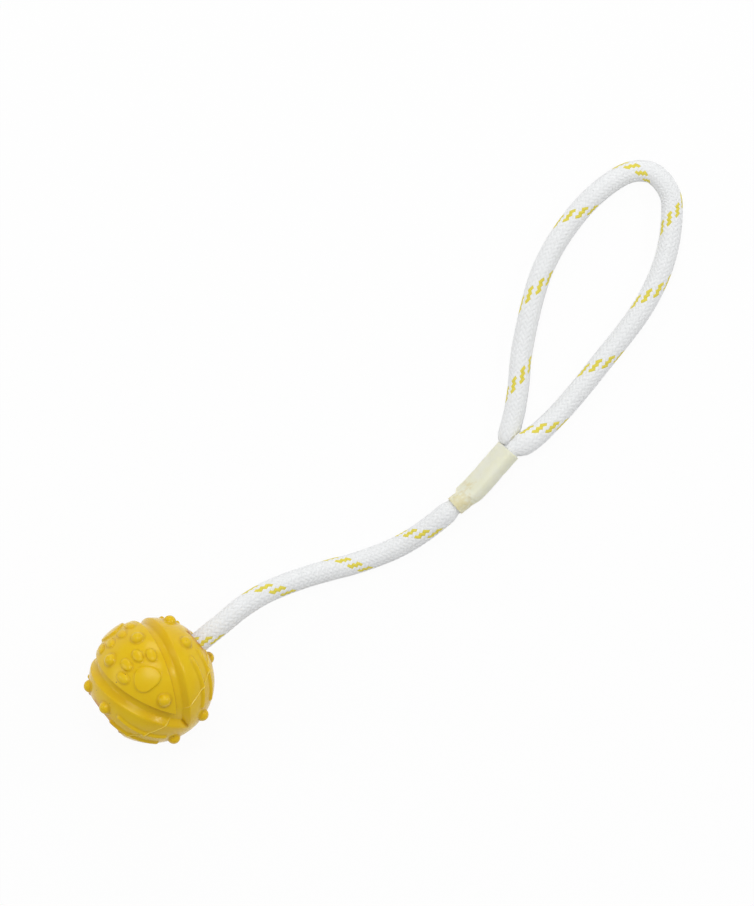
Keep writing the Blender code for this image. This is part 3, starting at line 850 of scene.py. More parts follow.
@dataclass(frozen=True)
class BallShape:
    """The moulded ball as a distance from its surface, with every edge rounded as rubber's are.

    Its own axes are the lens's: the first lens's pole is +Z, and X is the bore's axis.
    """

    radius: float = 0.0300
    bore_radius: float = 0.0053
    land_radius: float = 0.0082
    pocket_radius: float = 0.0123
    pocket_floor: float = -0.0006
    channel_depth: float = 0.0030
    channel_inner: float = -0.00105
    channel_outer: float = 0.00615
    channel_slope: float = 0.0030
    channel_tilt: float = math.radians(31.1)
    bump_radius: float = 0.00315
    bump_height: float = 0.0028
    bumps_deg: tuple[Pair, ...] = ((0.0, 16.0), (120.91, 17.0))
    tip_bump_deg: Pair = (65.5, 0.0)
    rib_radius: float = 0.00125
    rib_proud: float = -0.0002
    rib_points: int = 25
    rib_bends_deg: tuple[Pair, ...] = ((55.0, 47.5), (86.0, 38.5), (106.0, 23.0))
    paw_height: float = 0.0010
    pad_radius: float = 0.0064
    pad_corner: float = 0.065
    pad_breadth: float = 0.07
    pad_at: Pair = (0.0207, 0.0)
    toe_length: float = 0.0073
    toe_width: float = 0.0050
    toes_at: tuple[Pair, ...] = ((0.0129, 0.0088), (0.0091, 0.0034))
    toe_splay: float = 0.25
    toe_dome: float = 0.00055
    toe_flat: float = 0.3
    paw_draft: float = 0.4
    ridge_height: float = 0.00042
    ridge_width: float = 0.00042
    ridge_waves: tuple[Four, ...] = (
        (0.00022, 310.0, 0.0, 1.0), (0.00020, 0.0, 270.0, 0.0), (0.00008, 0.0, 900.0, 2.0),
    )
    # How fast the parting ridge's faint places repeat along X and Y, and how wide they are.
    ridge_faint: Point = (95.0, 60.0, 0.25)
    edge: float = 0.0004
    root: float = 0.0004
    bump_root: float = 0.0008
    # How far out the corners are probed for the painted shade, and the share that it spans.
    crease_reaches: Pair = (0.0005, 0.0014)
    crease_span: Pair = (0.05, 0.38)
    slope_probe: float = 0.00003
    least_slope: float = 0.2
    out_of_reach: float = 1.0

    @staticmethod
    def toward(along_deg: float, across_deg: float) -> Array:
        """The unit vector from the ball's middle at two angles of the lens.

        Args:
            along_deg: The angle toward the lens's tip, in degrees.
            across_deg: The angle toward the bore's axis, in degrees.

        Returns:
            The vector.
        """
        along, across = math.radians(along_deg), math.radians(across_deg)
        return np.array((
            math.sin(across),
            -math.cos(across) * math.sin(along),
            math.cos(across) * math.cos(along),
        ))

    def distance(self, points: Array) -> Array:
        """How far each point is outside the ball's surface, or, if negative, inside it.

        Args:
            points: Points in the ball's own axes.

        Returns:
            Their distances.
        """
        middle = np.linalg.norm(points, axis=1)
        land = math.sqrt(self.radius**2 - self.land_radius**2)
        body = smooth_most(middle - self.radius, points[:, 0] - land, self.edge)
        second = points[:, (1, 0, 2)] * (1, 1, -1)
        for q in (points, second):
            body = smooth_most(body, -self._channel(q, middle), self.edge)
        for q, both_tips in ((points, True), (second, False)):
            body = smooth_least(body, self._bumps(q, both_tips), self.bump_root)
            body = smooth_least(body, self._paws(q, middle), self.root)
        turned = points[:, (1, 0, 2)] * (-1, -1, -1)
        for q in (points, turned):
            body = smooth_least(body, self._rib(q), self.bump_root)
        body = body - self.ridge_height * self.ridge(points)
        from_axis = np.hypot(points[:, 1], points[:, 2])
        pocket = smooth_most(
            from_axis - self.pocket_radius, points[:, 0] - self.pocket_floor, self.edge
        )
        body = smooth_most(body, -pocket, 2 * self.edge)
        return smooth_most(body, self.bore_radius - from_axis, 2 * self.edge)

    def crease_shade(self, points: Array, outward: Array) -> Array:
        """How deep each point lies in a corner of the relief, from 0 on open ground to 1.

        Args:
            points: Points on the surface.
            outward: The surface's normals there.

        Returns:
            The depths, as shares, which set the painted shade in the rubber's colour.
        """
        closed = [
            1 - self.distance(points + reach * outward) / reach for reach in self.crease_reaches
        ]
        return eased(np.maximum(*closed), *self.crease_span)

    def ridge(self, points: Array) -> Array:
        """How much of the parting ridge each point has, from 0 beside it to 1 on its crest.

        Args:
            points: Points in the ball's own axes.

        Returns:
            The shares.
        """
        x, y, z = points.T
        wander = sum(
            depth * np.sin(along_x * x + along_y * y + start)
            for depth, along_x, along_y, start in self.ridge_waves
        )
        share = np.clip(1 - ((z + wander) / self.ridge_width) ** 2, 0, 1)
        along_x, along_y, width = self.ridge_faint
        return share * share * eased(np.sin(along_x * x + along_y * y) + 1.0, 0.0, width)

    def _channel(self, q: Array, middle: Array) -> Array:
        """The distance from the space cut out along both sides of a lens.

        Args:
            q: Points in the lens's axes.
            middle: Their distances from the ball's middle.

        Returns:
            The distances.
        """
        height = np.abs(q[:, 0]) * math.cos(self.channel_tilt) - q[:, 2] * math.sin(self.channel_tilt)
        radial = np.sqrt(np.maximum(middle**2 - height**2, 0))
        brim = math.sqrt(self.radius**2 - self.channel_outer**2)
        low = self.channel_outer - self.channel_slope
        floor = self.radius - self.channel_depth
        run = brim - math.sqrt(floor**2 - low**2)
        slant = math.hypot(run, self.channel_slope)
        slope = (
            run * (height - self.channel_outer) - self.channel_slope * (radial - brim)
        ) / slant
        cut = smooth_most(self.channel_inner - height, floor - middle, self.edge)
        return smooth_most(cut, slope, self.edge)

    @staticmethod
    def _folded(q: Array) -> Array:
        """The points' mirror images in the quarter of the lens that the relief is drawn in."""
        return np.column_stack((np.abs(q[:, 0]), -np.abs(q[:, 1]), q[:, 2]))

    def _bumps(self, q: Array, both_tips: bool) -> Array:
        """The distance from a lens's bumps; its far tip's bump is cut away by the pocket.

        Args:
            q: Points in the lens's axes.
            both_tips: Whether both of the lens's tips have a bump.

        Returns:
            The distances.
        """
        folded = self._folded(q)
        reach = self.radius + self.bump_height - self.bump_radius
        bumps = [(folded, angles) for angles in self.bumps_deg]
        bumps.append((folded if both_tips else q * (1, -1, 1), self.tip_bump_deg))
        gaps = [np.linalg.norm(at - self.toward(*angles) * reach, axis=1) for at, angles in bumps]
        return np.minimum.reduce(gaps) - self.bump_radius

    def _rib(self, q: Array) -> Array:
        """The distance from one rib and its three mirror images.

        Args:
            q: Points in the lens's axes.

        Returns:
            The distances.
        """
        folded = self._folded(q)
        first, middle, last = (self.toward(*angles) for angles in self.rib_bends_deg)
        t = np.linspace(0, 1, self.rib_points)[:, None]
        line = first * ((1 - t) * (1 - 2 * t)) + middle * (4 * t * (1 - t)) + last * (t * (2 * t - 1))
        line = unit(line) * (self.radius + self.rib_proud)
        found = np.full(len(q), self.out_of_reach)
        for start, end in zip(line, line[1:], strict=False):
            run = end - start
            share = np.clip((folded - start) @ run / run.dot(run), 0, 1)
            found = np.minimum(found, np.linalg.norm(folded - start - share[:, None] * run, axis=1))
        return found - self.rib_radius

    def _paws(self, q: Array, middle: Array) -> Array:
        """The distance from a lens's two paw prints.

        Args:
            q: Points in the lens's axes.
            middle: Their distances from the ball's middle.

        Returns:
            The distances.
        """
        folded = self._folded(q)
        pad_out = self.toward(*np.degrees(np.array(self.pad_at) / self.radius))
        height = middle - self.radius
        top = height - self.paw_height
        slant = math.hypot(1.0, self.paw_draft)
        pad = self._pad_outline(*self._on_surface(folded, pad_out, pad_out - UP))
        paw = smooth_most((pad + self.paw_draft * height) / slant, top, self.edge)
        for toe in self.toes_at:
            out = self.toward(*np.degrees(np.array(toe) / self.radius))
            heading = (pad_out - out) * (self.toe_splay, 1, 1)
            edge = self._toe_outline(*self._on_surface(folded, out, heading))
            sunk = np.clip(1 + edge / (self.toe_width / 2), 0, 1) ** 2
            wall = (edge + self.paw_draft * height) / slant
            dome = top + self.toe_dome * (sunk - self.toe_flat)
            paw = np.minimum(paw, smooth_most(wall, dome, self.edge))
        return np.where(folded[:, 2] > 0, paw, self.out_of_reach)

    @staticmethod
    def _on_surface(q: Array, out: Array, heading: Array) -> tuple[Array, Array]:
        """Where points are across and along the heading, in the surface's plane at a place."""
        ahead = unit(heading - heading.dot(out) * out)
        return q @ np.cross(ahead, out), q @ ahead

    def _pad_outline(self, x: Array, y: Array) -> Array:
        """The distance outside the pad's rounded triangle.

        Args:
            x: How far across the pad the points are.
            y: How far along it they are.

        Returns:
            The distances.
        """
        angle = np.arctan2(-y, x)
        corners = self.pad_corner * np.sin(3 * angle)
        breadth = self.pad_breadth * np.cos(2 * angle)
        return np.hypot(x, y) - self.pad_radius * (1 - corners + breadth)

    def _toe_outline(self, x: Array, y: Array) -> Array:
        """The distance outside a toe's ellipse.

        Args:
            x: How far across the toe the points are.
            y: How far along it they are.

        Returns:
            The distances.
        """
        a, b = self.toe_width / 2, self.toe_length / 2
        near = np.hypot(x / a, y / b)
        steep = np.hypot(x / a**2, y / b**2)
        return near * (near - 1) / np.maximum(steep, 1e-9)

    def settle(self, points: Array, rounds: int, longest: float) -> Array:
        """Moves points onto the surface along its slope.

        Args:
            points: Points near the surface.
            rounds: How many times they are moved.
            longest: The furthest that a point moves in a round.

        Returns:
            The moved points.
        """
        for _ in range(rounds):
            here = self.distance(points)
            slope = self._slope(points, here)
            size = np.maximum((slope**2).sum(axis=1), self.least_slope)
            move = -(here / size)[:, None] * slope
            far = np.linalg.norm(move, axis=1, keepdims=True)
            points = points + move * np.minimum(1.0, longest / np.maximum(far, 1e-12))
        return points

    def outward(self, points: Array) -> Array:
        """The surface's unit normals at points on it."""
        return unit(self._slope(points, self.distance(points)))

    def _slope(self, points: Array, here: Array) -> Array:
        """How fast the distance grows along each axis.

        Args:
            points: Points in the ball's own axes.
            here: Their distances from the surface.

        Returns:
            The slope at each point.
        """
        steps = self.slope_probe * np.eye(3)
        return np.column_stack([
            (self.distance(points + step) - here) / self.slope_probe for step in steps
        ])


@dataclass
class ThrowBall:
    """The sponge-rubber ball."""

    rubber: SpongeRubber
    shape: BallShape = field(default_factory=BallShape)
    turn: float = math.radians(-44.0)
    voxel: float = 0.00078
    finest: float = 0.00030
    sharpest: float = math.cos(math.radians(18.0))
    truest: float = 0.00002
    rounds: int = 3
    # How many times a point is moved onto the form, and how far at most each time.
    first_settling: tuple[int, float] = (5, 0.0004)
    later_settling: tuple[int, float] = (4, 0.0003)

    def __post_init__(self) -> None:
        """Finds the ball's middle from the CAD's rope, which fills the bore from the pocket on."""
        low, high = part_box("bore_rope")
        self.middle = np.array((low.x - self.shape.pocket_floor, 0.0, (low.z + high.z) / 2))
        self.axes = np.array(Matrix.Rotation(self.turn, 3, "X"))

    def build(self) -> None:
        """Builds and dresses the ball."""
        dress(self._body(), self.rubber.material(self.shape), Body.BALL, "ball")

    def _body(self) -> Piece:
        """The ball's mesh: the CAD ball's skin remade, settled on the rounded form and refined.

        Returns:
            The piece.
        """
        points, corners = self._even_skin()
        settled = (points - self.middle) @ self.axes
        settled = self.shape.settle(settled, *self.first_settling)
        for _ in range(self.rounds):
            settled, corners = self._refined(settled, corners)
        made = mesh_piece("sponge_ball", settled @ self.axes.T + self.middle, corners.tolist())
        outward = self.shape.outward(settled)
        made.data.normals_split_custom_set_from_vertices(outward @ self.axes.T)
        relief = np.zeros_like(settled)
        # The ridge's share, for its painted highlight, and the corners' depth, for painted shade.
        relief[:, 0] = self.shape.ridge(settled)
        relief[:, 1] = self.shape.crease_shade(settled, outward)
        keep(made, "mould", "POINT", settled)
        keep(made, "relief", "POINT", relief)
        return made

    def _even_skin(self) -> tuple[Array, Array]:
        """The points and triangles of the CAD ball's skin, remade in even faces.

        Returns:
            The points, and the corners of each triangle.
        """
        rough = placed("rough_ball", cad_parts["ball"].data.copy())
        remesh = rough.modifiers.new("even", "REMESH")
        remesh.mode = "VOXEL"
        remesh.voxel_size = self.voxel
        even = rough.evaluated_get(bpy.context.evaluated_depsgraph_get()).to_mesh()
        even.calc_loop_triangles()
        points = np.array([corner.co[:] for corner in even.vertices])
        corners = np.array([triangle.vertices[:] for triangle in even.loop_triangles])
        bpy.data.meshes.remove(rough.data)
        return points, corners

    def _refined(self, points: Array, corners: Array) -> tuple[Array, Array]:
        """Splits the edges that cut across a bend of the form.

        Args:
            points: The mesh's points, in the ball's own axes.
            corners: The points of each triangle.

        Returns:
            The points and the triangles with the new points settled on the form.
        """
        sides = np.sort(np.concatenate([corners[:, (k, (k + 1) % 3)] for k in range(3)]), axis=1)
        keys, of = np.unique(sides[:, 0] * len(points) + sides[:, 1], return_inverse=True)
        ends = np.column_stack((keys // len(points), keys % len(points)))
        normals = self.shape.outward(points)
        bend = (normals[ends[:, 0]] * normals[ends[:, 1]]).sum(axis=1)
        middles = points[ends].mean(axis=1)
        length = np.linalg.norm(points[ends[:, 0]] - points[ends[:, 1]], axis=1)
        off = np.abs(self.shape.distance(middles))
        split = (length > self.finest) & ((bend < self.sharpest) | (off > self.truest))
        new = np.where(split, len(points) + np.cumsum(split) - 1, -1)
        halves = new[of].reshape(3, -1).T
        added = self.shape.settle(middles[split], *self.later_settling)
        return np.vstack((points, added)), self._split(corners, halves)

    @staticmethod
    def _split(corners: Array, halves: Array) -> Array:
        """Cuts each triangle into as many as its split sides need; -1 is a side left whole.

        Args:
            corners: The points of each triangle.
            halves: The new point on each of its sides, or -1.

        Returns:
            The triangles.
        """
        cut = halves >= 0
        count = cut.sum(axis=1)
        turn = np.where(count == 1, np.argmax(cut, axis=1), (np.argmin(cut, axis=1) + 1) % 3)
        order = (np.arange(3) + turn[:, None]) % 3
        a, b, c = np.take_along_axis(corners, order, axis=1).T
        ab, bc, ca = np.take_along_axis(halves, order, axis=1).T
        patterns = (
            (0, ((a, b, c),)),
            (1, ((a, ab, c), (ab, b, c))),
            (2, ((ab, b, bc), (a, ab, bc), (a, bc, c))),
            (3, ((a, ab, ca), (ab, b, bc), (ca, bc, c), (ab, bc, ca))),
        )
        return np.vstack([
            np.column_stack(triangle)[count == number]
            for number, triangles in patterns for triangle in triangles
        ])


@dataclass(frozen=True)
class RopeSizes:
    """The rope's and the sleeve's sizes, as the CAD has them."""

    radius: float = 0.0051
    bore_radius: float = 0.0050
    sides: int = 12
    touch_gap: float = 0.0003
    lead_start: float = 0.0200
    sleeve_wall: float = 0.0006
    single_length: float = 0.0042
    step_length: float = 0.0024
    single_radius: float = 0.0049
    bound_radius: float = 0.0035
    lean: float = math.radians(29.0)
    tail_inset: float = 0.0074

    @property
    def laid(self) -> float:
        """How high the rope's middle is where it lies on the floor."""
        return self.radius * math.cos(math.pi / self.sides)

    @property
    def outer_radius(self) -> float:
        """The sleeve's outer radius round one of its two ropes."""
        return self.bound_radius + self.touch_gap + self.sleeve_wall

    @property
    def spacing(self) -> float:
        """How far apart the two ropes' middles are in the sleeve."""
        return 2 * self.bound_radius + self.touch_gap

    @property
    def standing(self) -> float:
        """How high the upper rope's middle is in the sleeve."""
        return self.outer_radius + self.spacing * math.cos(self.lean)


# The rope's middle as the photograph shows it, from the ball's middle. The lead's also has its
# shares of the drop from the ball to the floor and of the climb onto the sleeve.
LEAD_ROUTE = (
    (0.0203, 0.0000, 1.000, 0.00), (0.0340, 0.0000, 1.000, 0.00), (0.0440, 0.0000, 0.995, 0.00),
    (0.0545, 0.0001, 0.955, 0.00), (0.0660, -0.0012, 0.840, 0.00), (0.0772, -0.0042, 0.650, 0.00),
    (0.0880, -0.0081, 0.420, 0.00), (0.0987, -0.0127, 0.200, 0.00), (0.1092, -0.0175, 0.050, 0.00),
    (0.1202, -0.0216, 0.000, 0.00), (0.1314, -0.0248, 0.000, 0.13), (0.1430, -0.0265, 0.000, 0.52),
    (0.1545, -0.0269, 0.000, 0.90), (0.1620, -0.0267, 0.000, 1.00),
)
SLEEVE_PLAN = (
    (0.1646, -0.0267), (0.1730, -0.0264), (0.1821, -0.0253), (0.1900, -0.0239), (0.2017, -0.0219),
)
LOOP_PLAN = (
    (0.2058, -0.0168), (0.2113, -0.0128), (0.2165, -0.0088), (0.2250, -0.0010), (0.2348, 0.0091),
    (0.2455, 0.0183), (0.2566, 0.0269), (0.2684, 0.0347), (0.2812, 0.0405), (0.2947, 0.0446),
    (0.3086, 0.0470), (0.3227, 0.0470), (0.3325, 0.0446), (0.3389, 0.0390), (0.3407, 0.0320),
    (0.3396, 0.0247), (0.3361, 0.0188), (0.3267, 0.0088), (0.3157, 0.0004), (0.3036, -0.0061),
    (0.2906, -0.0109), (0.2772, -0.0143), (0.2637, -0.0172), (0.2502, -0.0202), (0.2366, -0.0228),
    (0.2278, -0.0240), (0.2197, -0.0247), (0.2130, -0.0246), (0.2075, -0.0240),
)
LOOP_CLIMB_SHARES = (0.04, 0.01) + 22 * (0.0,) + (0.10, 0.32, 0.62, 0.86, 0.97)

# Half of the overhand knot, in shares of its size. The other half is this one turned over.
KNOT_HALF_ROUTE_SHARES = (
    (0.00, 0.00, 0.88), (-0.31, 0.39, 0.88), (-0.64, 0.74, 0.75), (-0.96, 0.96, 0.44),
    (-1.19, 0.98, 0.00), (-1.28, 0.83, -0.45), (-1.21, 0.50, -0.83), (-0.99, 0.12, -1.04),
    (-0.64, -0.23, -1.06), (-0.25, -0.48, -0.88), (0.11, -0.53, -0.55), (0.39, -0.34, -0.20),
    (0.76, 0.00, 0.01), (1.20, 0.09, 0.06), (1.66, 0.03, 0.02),
)


@dataclass
class SleeveStations:
    """The places of the two ropes along the sleeve, from its lower end to its mouth."""

    sizes: RopeSizes
    ball_middle: Array
    step: float = 0.0004
    drawn_by: float = 0.0125

    def __post_init__(self) -> None:
        """Works out every station."""
        sizes = self.sizes
        plan = [(self.ball_middle[0] + x, y, 0.0) for x, y in SLEEVE_PLAN]
        middle = smooth_line(plan, self.step)
        self.along = lengths_along(middle)
        self.ahead = unit(np.gradient(middle, axis=0))
        self.left = np.column_stack((-self.ahead[:, 1], self.ahead[:, 0], np.zeros(len(middle))))
        opened = eased(self.along, sizes.single_length, sizes.single_length + sizes.step_length)
        spread = sizes.spacing * math.sin(sizes.lean) / 2
        drawn = eased(self.along, sizes.single_length / 2, self.drawn_by)
        self.standing = middle - self.left * spread * drawn[:, None] + UP * sizes.standing
        self.tail = middle + self.left * spread + UP * sizes.outer_radius
        self.apart = self.standing - self.tail
        self.radius = sizes.single_radius + (sizes.outer_radius - sizes.single_radius) * opened
        self.bound = self.standing + (self.tail - self.standing) * opened[:, None]


@dataclass
class LoopSleeve:
    """The shrunk sleeve that binds the loop's tail to the rope."""

    finish: ShrinkSleeve
    sizes: RopeSizes
    braid: Braid
    stations: SleeveStations
    sides: int = 96
    braid_shows: float = 0.16
    lip_width: float = 0.0005
    lip_height: float = 0.0001
    crease_bend: float = 0.0011
    crease_bends: float = 1.5
    crease_lag: float = 0.6
    crease_evenness: float = 0.6
    # Each crease's place along the sleeve, width, depth and turn.
    creases: tuple[Four, ...] = (
        (0.0078, 0.0005, -0.00016, 0.4), (0.0088, 0.0006, 0.00012, 0.4),
        (0.0122, 0.0008, -0.00010, 2.2), (0.0250, 0.0012, -0.00008, 4.0),
    )

    def build(self) -> Piece:
        """Builds and dresses the sleeve.

        Returns:
            Its piece, a loft round both ropes that is joined to its inside at the two cut ends.
        """
        at = self.stations
        rows = len(at.along)
        half = self.sides // 2
        base = np.arctan2(at.apart[:, 2], (at.apart * at.left).sum(axis=1))
        sweep = np.pi * ((np.arange(half) + 0.5) / half - 0.5)
        angle = base[:, None] + np.concatenate((sweep, sweep + np.pi))
        centre = np.stack((at.standing, at.bound), axis=1).repeat(half, axis=1)
        out = np.cos(angle)[:, :, None] * at.left[:, None, :] + np.sin(angle)[:, :, None] * UP
        travel = at.along / self.braid.pitch
        radius = at.radius[:, None]
        weave = self.braid.relief(self.sides, travel) * self.braid_shows
        outer = radius + weave + self._creases(at.along[:, None], angle)
        points = [
            (centre + out * reach[:, :, None]).reshape(-1, 3)
            for reach in (outer, radius - self.sizes.sleeve_wall)
        ]
        faces = self._faces(rows)
        made = mesh_piece("shrunk_sleeve", np.concatenate(points), faces.tolist())
        self.braid.number(made, faces, self.sides, at.along, travel)
        dress(made, self.finish.material(self.braid), Body.ROPE, "loop_sleeve")
        return made

    def _faces(self, rows: int) -> Array:
        """The faces outside and inside, and the two rims between them.

        Args:
            rows: How many rings each skin has.

        Returns:
            The points of each face.
        """
        outer = tube_faces(rows, self.sides)
        skin = rows * self.sides
        here, after = outer[: self.sides, :2].T
        rim = np.column_stack((here, here + skin, after + skin, after))
        return np.vstack((outer, outer[:, ::-1] + skin, rim, rim[:, ::-1] + skin - self.sides))

    def _creases(self, along: Array, angle: Array) -> Array:
        """Shallow wrinkles where the sleeve steps down, and a slightly raised cut edge.

        Args:
            along: Distances along the sleeve.
            angle: Angles round it.

        Returns:
            How far they stand out.
        """
        def hump(distance: Array, width: float) -> Array:
            """A round hump: one at no distance, and nearly zero beyond twice the width."""
            return np.exp(-((distance / width) ** 2))

        bend = self.crease_bend * np.sin(angle * self.crease_bends + self.crease_lag)
        even, uneven = self.crease_evenness, 1 - self.crease_evenness
        wrinkles = sum(
            depth * hump(along - place + bend, width) * (even + uneven * np.sin(angle + lag))
            for place, width, depth, lag in self.creases
        )
        lips = hump(along, self.lip_width) + hump(along[-1] - along, self.lip_width)
        return wrinkles + self.lip_height * lips


@dataclass
class BraidedRopes:
    """The rope's stretches: in the bore, the knot, the lead, in the sleeve, the tail and the loop."""

    finish: BraidedRope
    sealed: SealedEnd
    sizes: RopeSizes
    braid: Braid
    stations: SleeveStations
    ball_middle: Array
    pocket_floor: float
    step: float = 0.00040
    overlap: float = 0.0016
    lead_swells: Pair = (0.02, 0.04)
    lead_grip: float = 0.0070
    lead_tracer: tuple[float, ...] = (0.0091, 0.0508, 0.0950, 0.1324)
    loop_tracer: tuple[float, ...] = (
        0.0355, 0.0798, 0.1216, 0.1588, 0.1884, 0.2284, 0.2703, 0.3126,
    )
    loop_straight: float = 0.0018
    # How far past the sleeve the loop is full again, and its bulge: sideways, then upward.
    loop_side: Pair = (0.0075, 0.0005)
    loop_up: Pair = (0.0110, -0.0003)
    # Where the bulge rises and where it is over, from the loop's far end.
    bulge_start: Pair = (0.003, 0.009)
    bulge_end: Pair = (0.026, 0.011)
    squeeze_length: float = 0.0042
    knot_pocket_reach: float = 0.0114
    knot_rope_share: float = 0.46
    seat_gap: float = 0.0006
    neck_length: float = 0.0015
    neck_radius: float = 0.0036
    seal_height: float = 0.0006
    seal_wave: float = 0.05
    seal_lobes: int = 5

    def build(self) -> tuple[RopeStretch, RopeStretch]:
        """Builds and dresses every stretch of the rope.

        Returns:
            The two free stretches, the lead and the loop.
        """
        material = self.finish.material(self.braid)
        lead, loop, knot = self._lead(), self._loop(), self._knot()
        for stretch, body, node in (
            (lead, Body.ROPE, "lead_rope"),
            (loop, Body.ROPE, "hand_loop"),
            (self._sleeved(), Body.ROPE, "sleeve_rope"),
            (self._tail(), Body.ROPE, "rope_tail"),
            (self._bore(), Body.ROPE_END, "bore_rope"),
            (knot, Body.ROPE_END, "stopper_knot"),
        ):
            dress(stretch.mesh(), material, body, node)
        self._seal(knot)
        return lead, loop

    def _lead(self) -> RopeStretch:
        """The rope from the ball's mouth to just inside the sleeve, slimmer at both ends.

        Returns:
            The stretch.
        """
        sizes = self.sizes
        start_x, _, ball_height = self.ball_middle
        drop = ball_height - sizes.laid
        climb = sizes.standing - sizes.laid
        route = [
            (start_x + x, y, sizes.laid + drop * down + climb * up) for x, y, down, up in LEAD_ROUTE
        ]
        inside = self.stations.standing[self.stations.along < self.overlap]
        line = smooth_line(np.vstack((route, inside[::2])), self.step)
        along = lengths_along(line)
        grip = sizes.radius - sizes.single_radius + sizes.sleeve_wall + sizes.touch_gap
        radius = (
            sizes.bore_radius
            + (sizes.radius - sizes.bore_radius) * eased(along, *self.lead_swells)
            - grip * eased(along, along[-1] - self.lead_grip, along[-1] - self.overlap)
        )
        return RopeStretch(
            "lead_rope_braid", line, radius, radius, self.braid, self.lead_tracer, sides=112
        )

    def _loop(self) -> RopeStretch:
        """The hand loop, from just inside the mouth on the tail's side round to the rope's.

        Returns:
            The stretch.
        """
        sizes = self.sizes
        at = self.stations
        near = at.along > at.along[-1] - self.overlap
        climb = sizes.standing - sizes.laid
        straight = at.ahead[-1] * self.loop_straight
        line = smooth_line([
            *at.tail[near][::2],
            at.tail[-1] + straight,
            *(
                (self.ball_middle[0] + x, y, sizes.laid + climb * up)
                for (x, y), up in zip(LOOP_PLAN, LOOP_CLIMB_SHARES, strict=True)
            ),
            at.standing[-1] + straight,
            *at.standing[near][::-2],
        ], self.step)
        along = lengths_along(line)
        left = along[-1] - along
        nearest = np.minimum(along, left)
        past = eased(left, *self.bulge_start) * eased(left, *self.bulge_end)
        side, up = (
            sizes.bound_radius + bulge * past
            + (sizes.radius - sizes.bound_radius) * eased(nearest, self.overlap, self.overlap + reach)
            for reach, bulge in (self.loop_side, self.loop_up)
        )
        return RopeStretch("hand_loop_braid", line, side, up, self.braid, self.loop_tracer)

    def _sleeved(self) -> RopeStretch:
        """The standing rope inside the sleeve, squeezed where the tail lies beside it.

        Returns:
            The stretch.
        """
        sizes = self.sizes
        line = self._inside(self.stations.standing, self.overlap)
        free = sizes.single_radius - sizes.sleeve_wall - sizes.touch_gap
        squeezed = eased(lengths_along(line) + self.overlap, 0, self.squeeze_length)
        radius = free + (sizes.bound_radius - free) * squeezed
        return RopeStretch("sleeved_rope_braid", line, radius, radius, self.braid, sides=48)

    def _tail(self) -> RopeStretch:
        """The loop's tail inside the sleeve.

        Returns:
            The stretch.
        """
        line = self._inside(self.stations.tail, self.sizes.tail_inset)
        radius = self.sizes.bound_radius
        return RopeStretch("rope_tail_braid", line, radius, radius, self.braid, sides=48)

    def _inside(self, places: Array, start: float) -> Array:
        """A rope's line in the sleeve, from a start to just inside the mouth.

        Args:
            places: The rope's place at each station.
            start: Where it starts, along the sleeve.

        Returns:
            The line.
        """
        along = self.stations.along
        inside = (along >= start) & (along <= along[-1] - self.overlap)
        return smooth_line(places[inside][::6], 2 * self.step)

    def _bore(self) -> RopeStretch:
        """The rope through the ball's bore, thinner where the knot pulls on it.

        Returns:
            The stretch.
        """
        sizes = self.sizes
        ends = np.array(((self.pocket_floor, 0.0, 0.0), (sizes.lead_start, 0.0, 0.0)))
        line = smooth_line(ends + self.ball_middle, 2 * self.step)
        along = lengths_along(line)
        full = eased(along, 0, along[-1] / 2)
        radius = self.neck_radius + (sizes.bore_radius - self.neck_radius) * full
        return RopeStretch("bore_rope_braid", line, radius, radius, self.braid, sides=64)

    def _knot(self) -> RopeStretch:
        """The overhand knot in the pocket.

        Returns:
            The stretch.
        """
        shares = np.array(KNOT_HALF_ROUTE_SHARES)
        widest = np.hypot(shares[:, 1], shares[:, 2]).max() + self.knot_rope_share
        one = self.knot_pocket_reach / widest
        rope = one * self.knot_rope_share
        middle = self.pocket_floor - self.seat_gap + shares[:, 0].min() * one - rope
        half = shares * one
        other = half[:0:-1] * (-1, -1, 1)
        points = np.vstack((half[-2::-1], other[::-1])) + (middle, 0, 0)
        neck = np.array((self.pocket_floor - self.sizes.touch_gap, 0.0, 0.0))
        points = np.vstack((neck, neck - (self.neck_length, 0, 0), points))
        line = smooth_line(points + self.ball_middle, self.step)
        return RopeStretch("stopper_knot_braid", line, rope, rope, self.braid, sides=80)

    def _seal(self, knot: RopeStretch) -> None:
        """A melted cap on the rope's cut end, past the knot.

        Args:
            knot: The knot's stretch, whose last point is the cut end.
        """
        end = Vector(knot.line[-1])
        ahead = (end - Vector(knot.line[-4])).normalized()
        shape = bmesh.new()
        bmesh.ops.create_uvsphere(shape, u_segments=40, v_segments=20, radius=1.0)
        for corner in shape.verts:
            x, y, z = corner.co
            wave = self.seal_wave * math.sin(self.seal_lobes * math.atan2(y, x))
            size = knot.side_radius * (1 + wave)
            corner.co = (x * size, y * size, z * self.seal_height)
        data = bpy.data.meshes.new("sealed_rope_end")
        shape.to_mesh(data)
        shape.free()
        data.shade_smooth()
        made = placed("sealed_rope_end", data)
        made.matrix_world = Matrix.Translation(end) @ ahead.to_track_quat("Z", "Y").to_matrix().to_4x4()
        dress(made, self.sealed.material(), Body.ROPE_END)


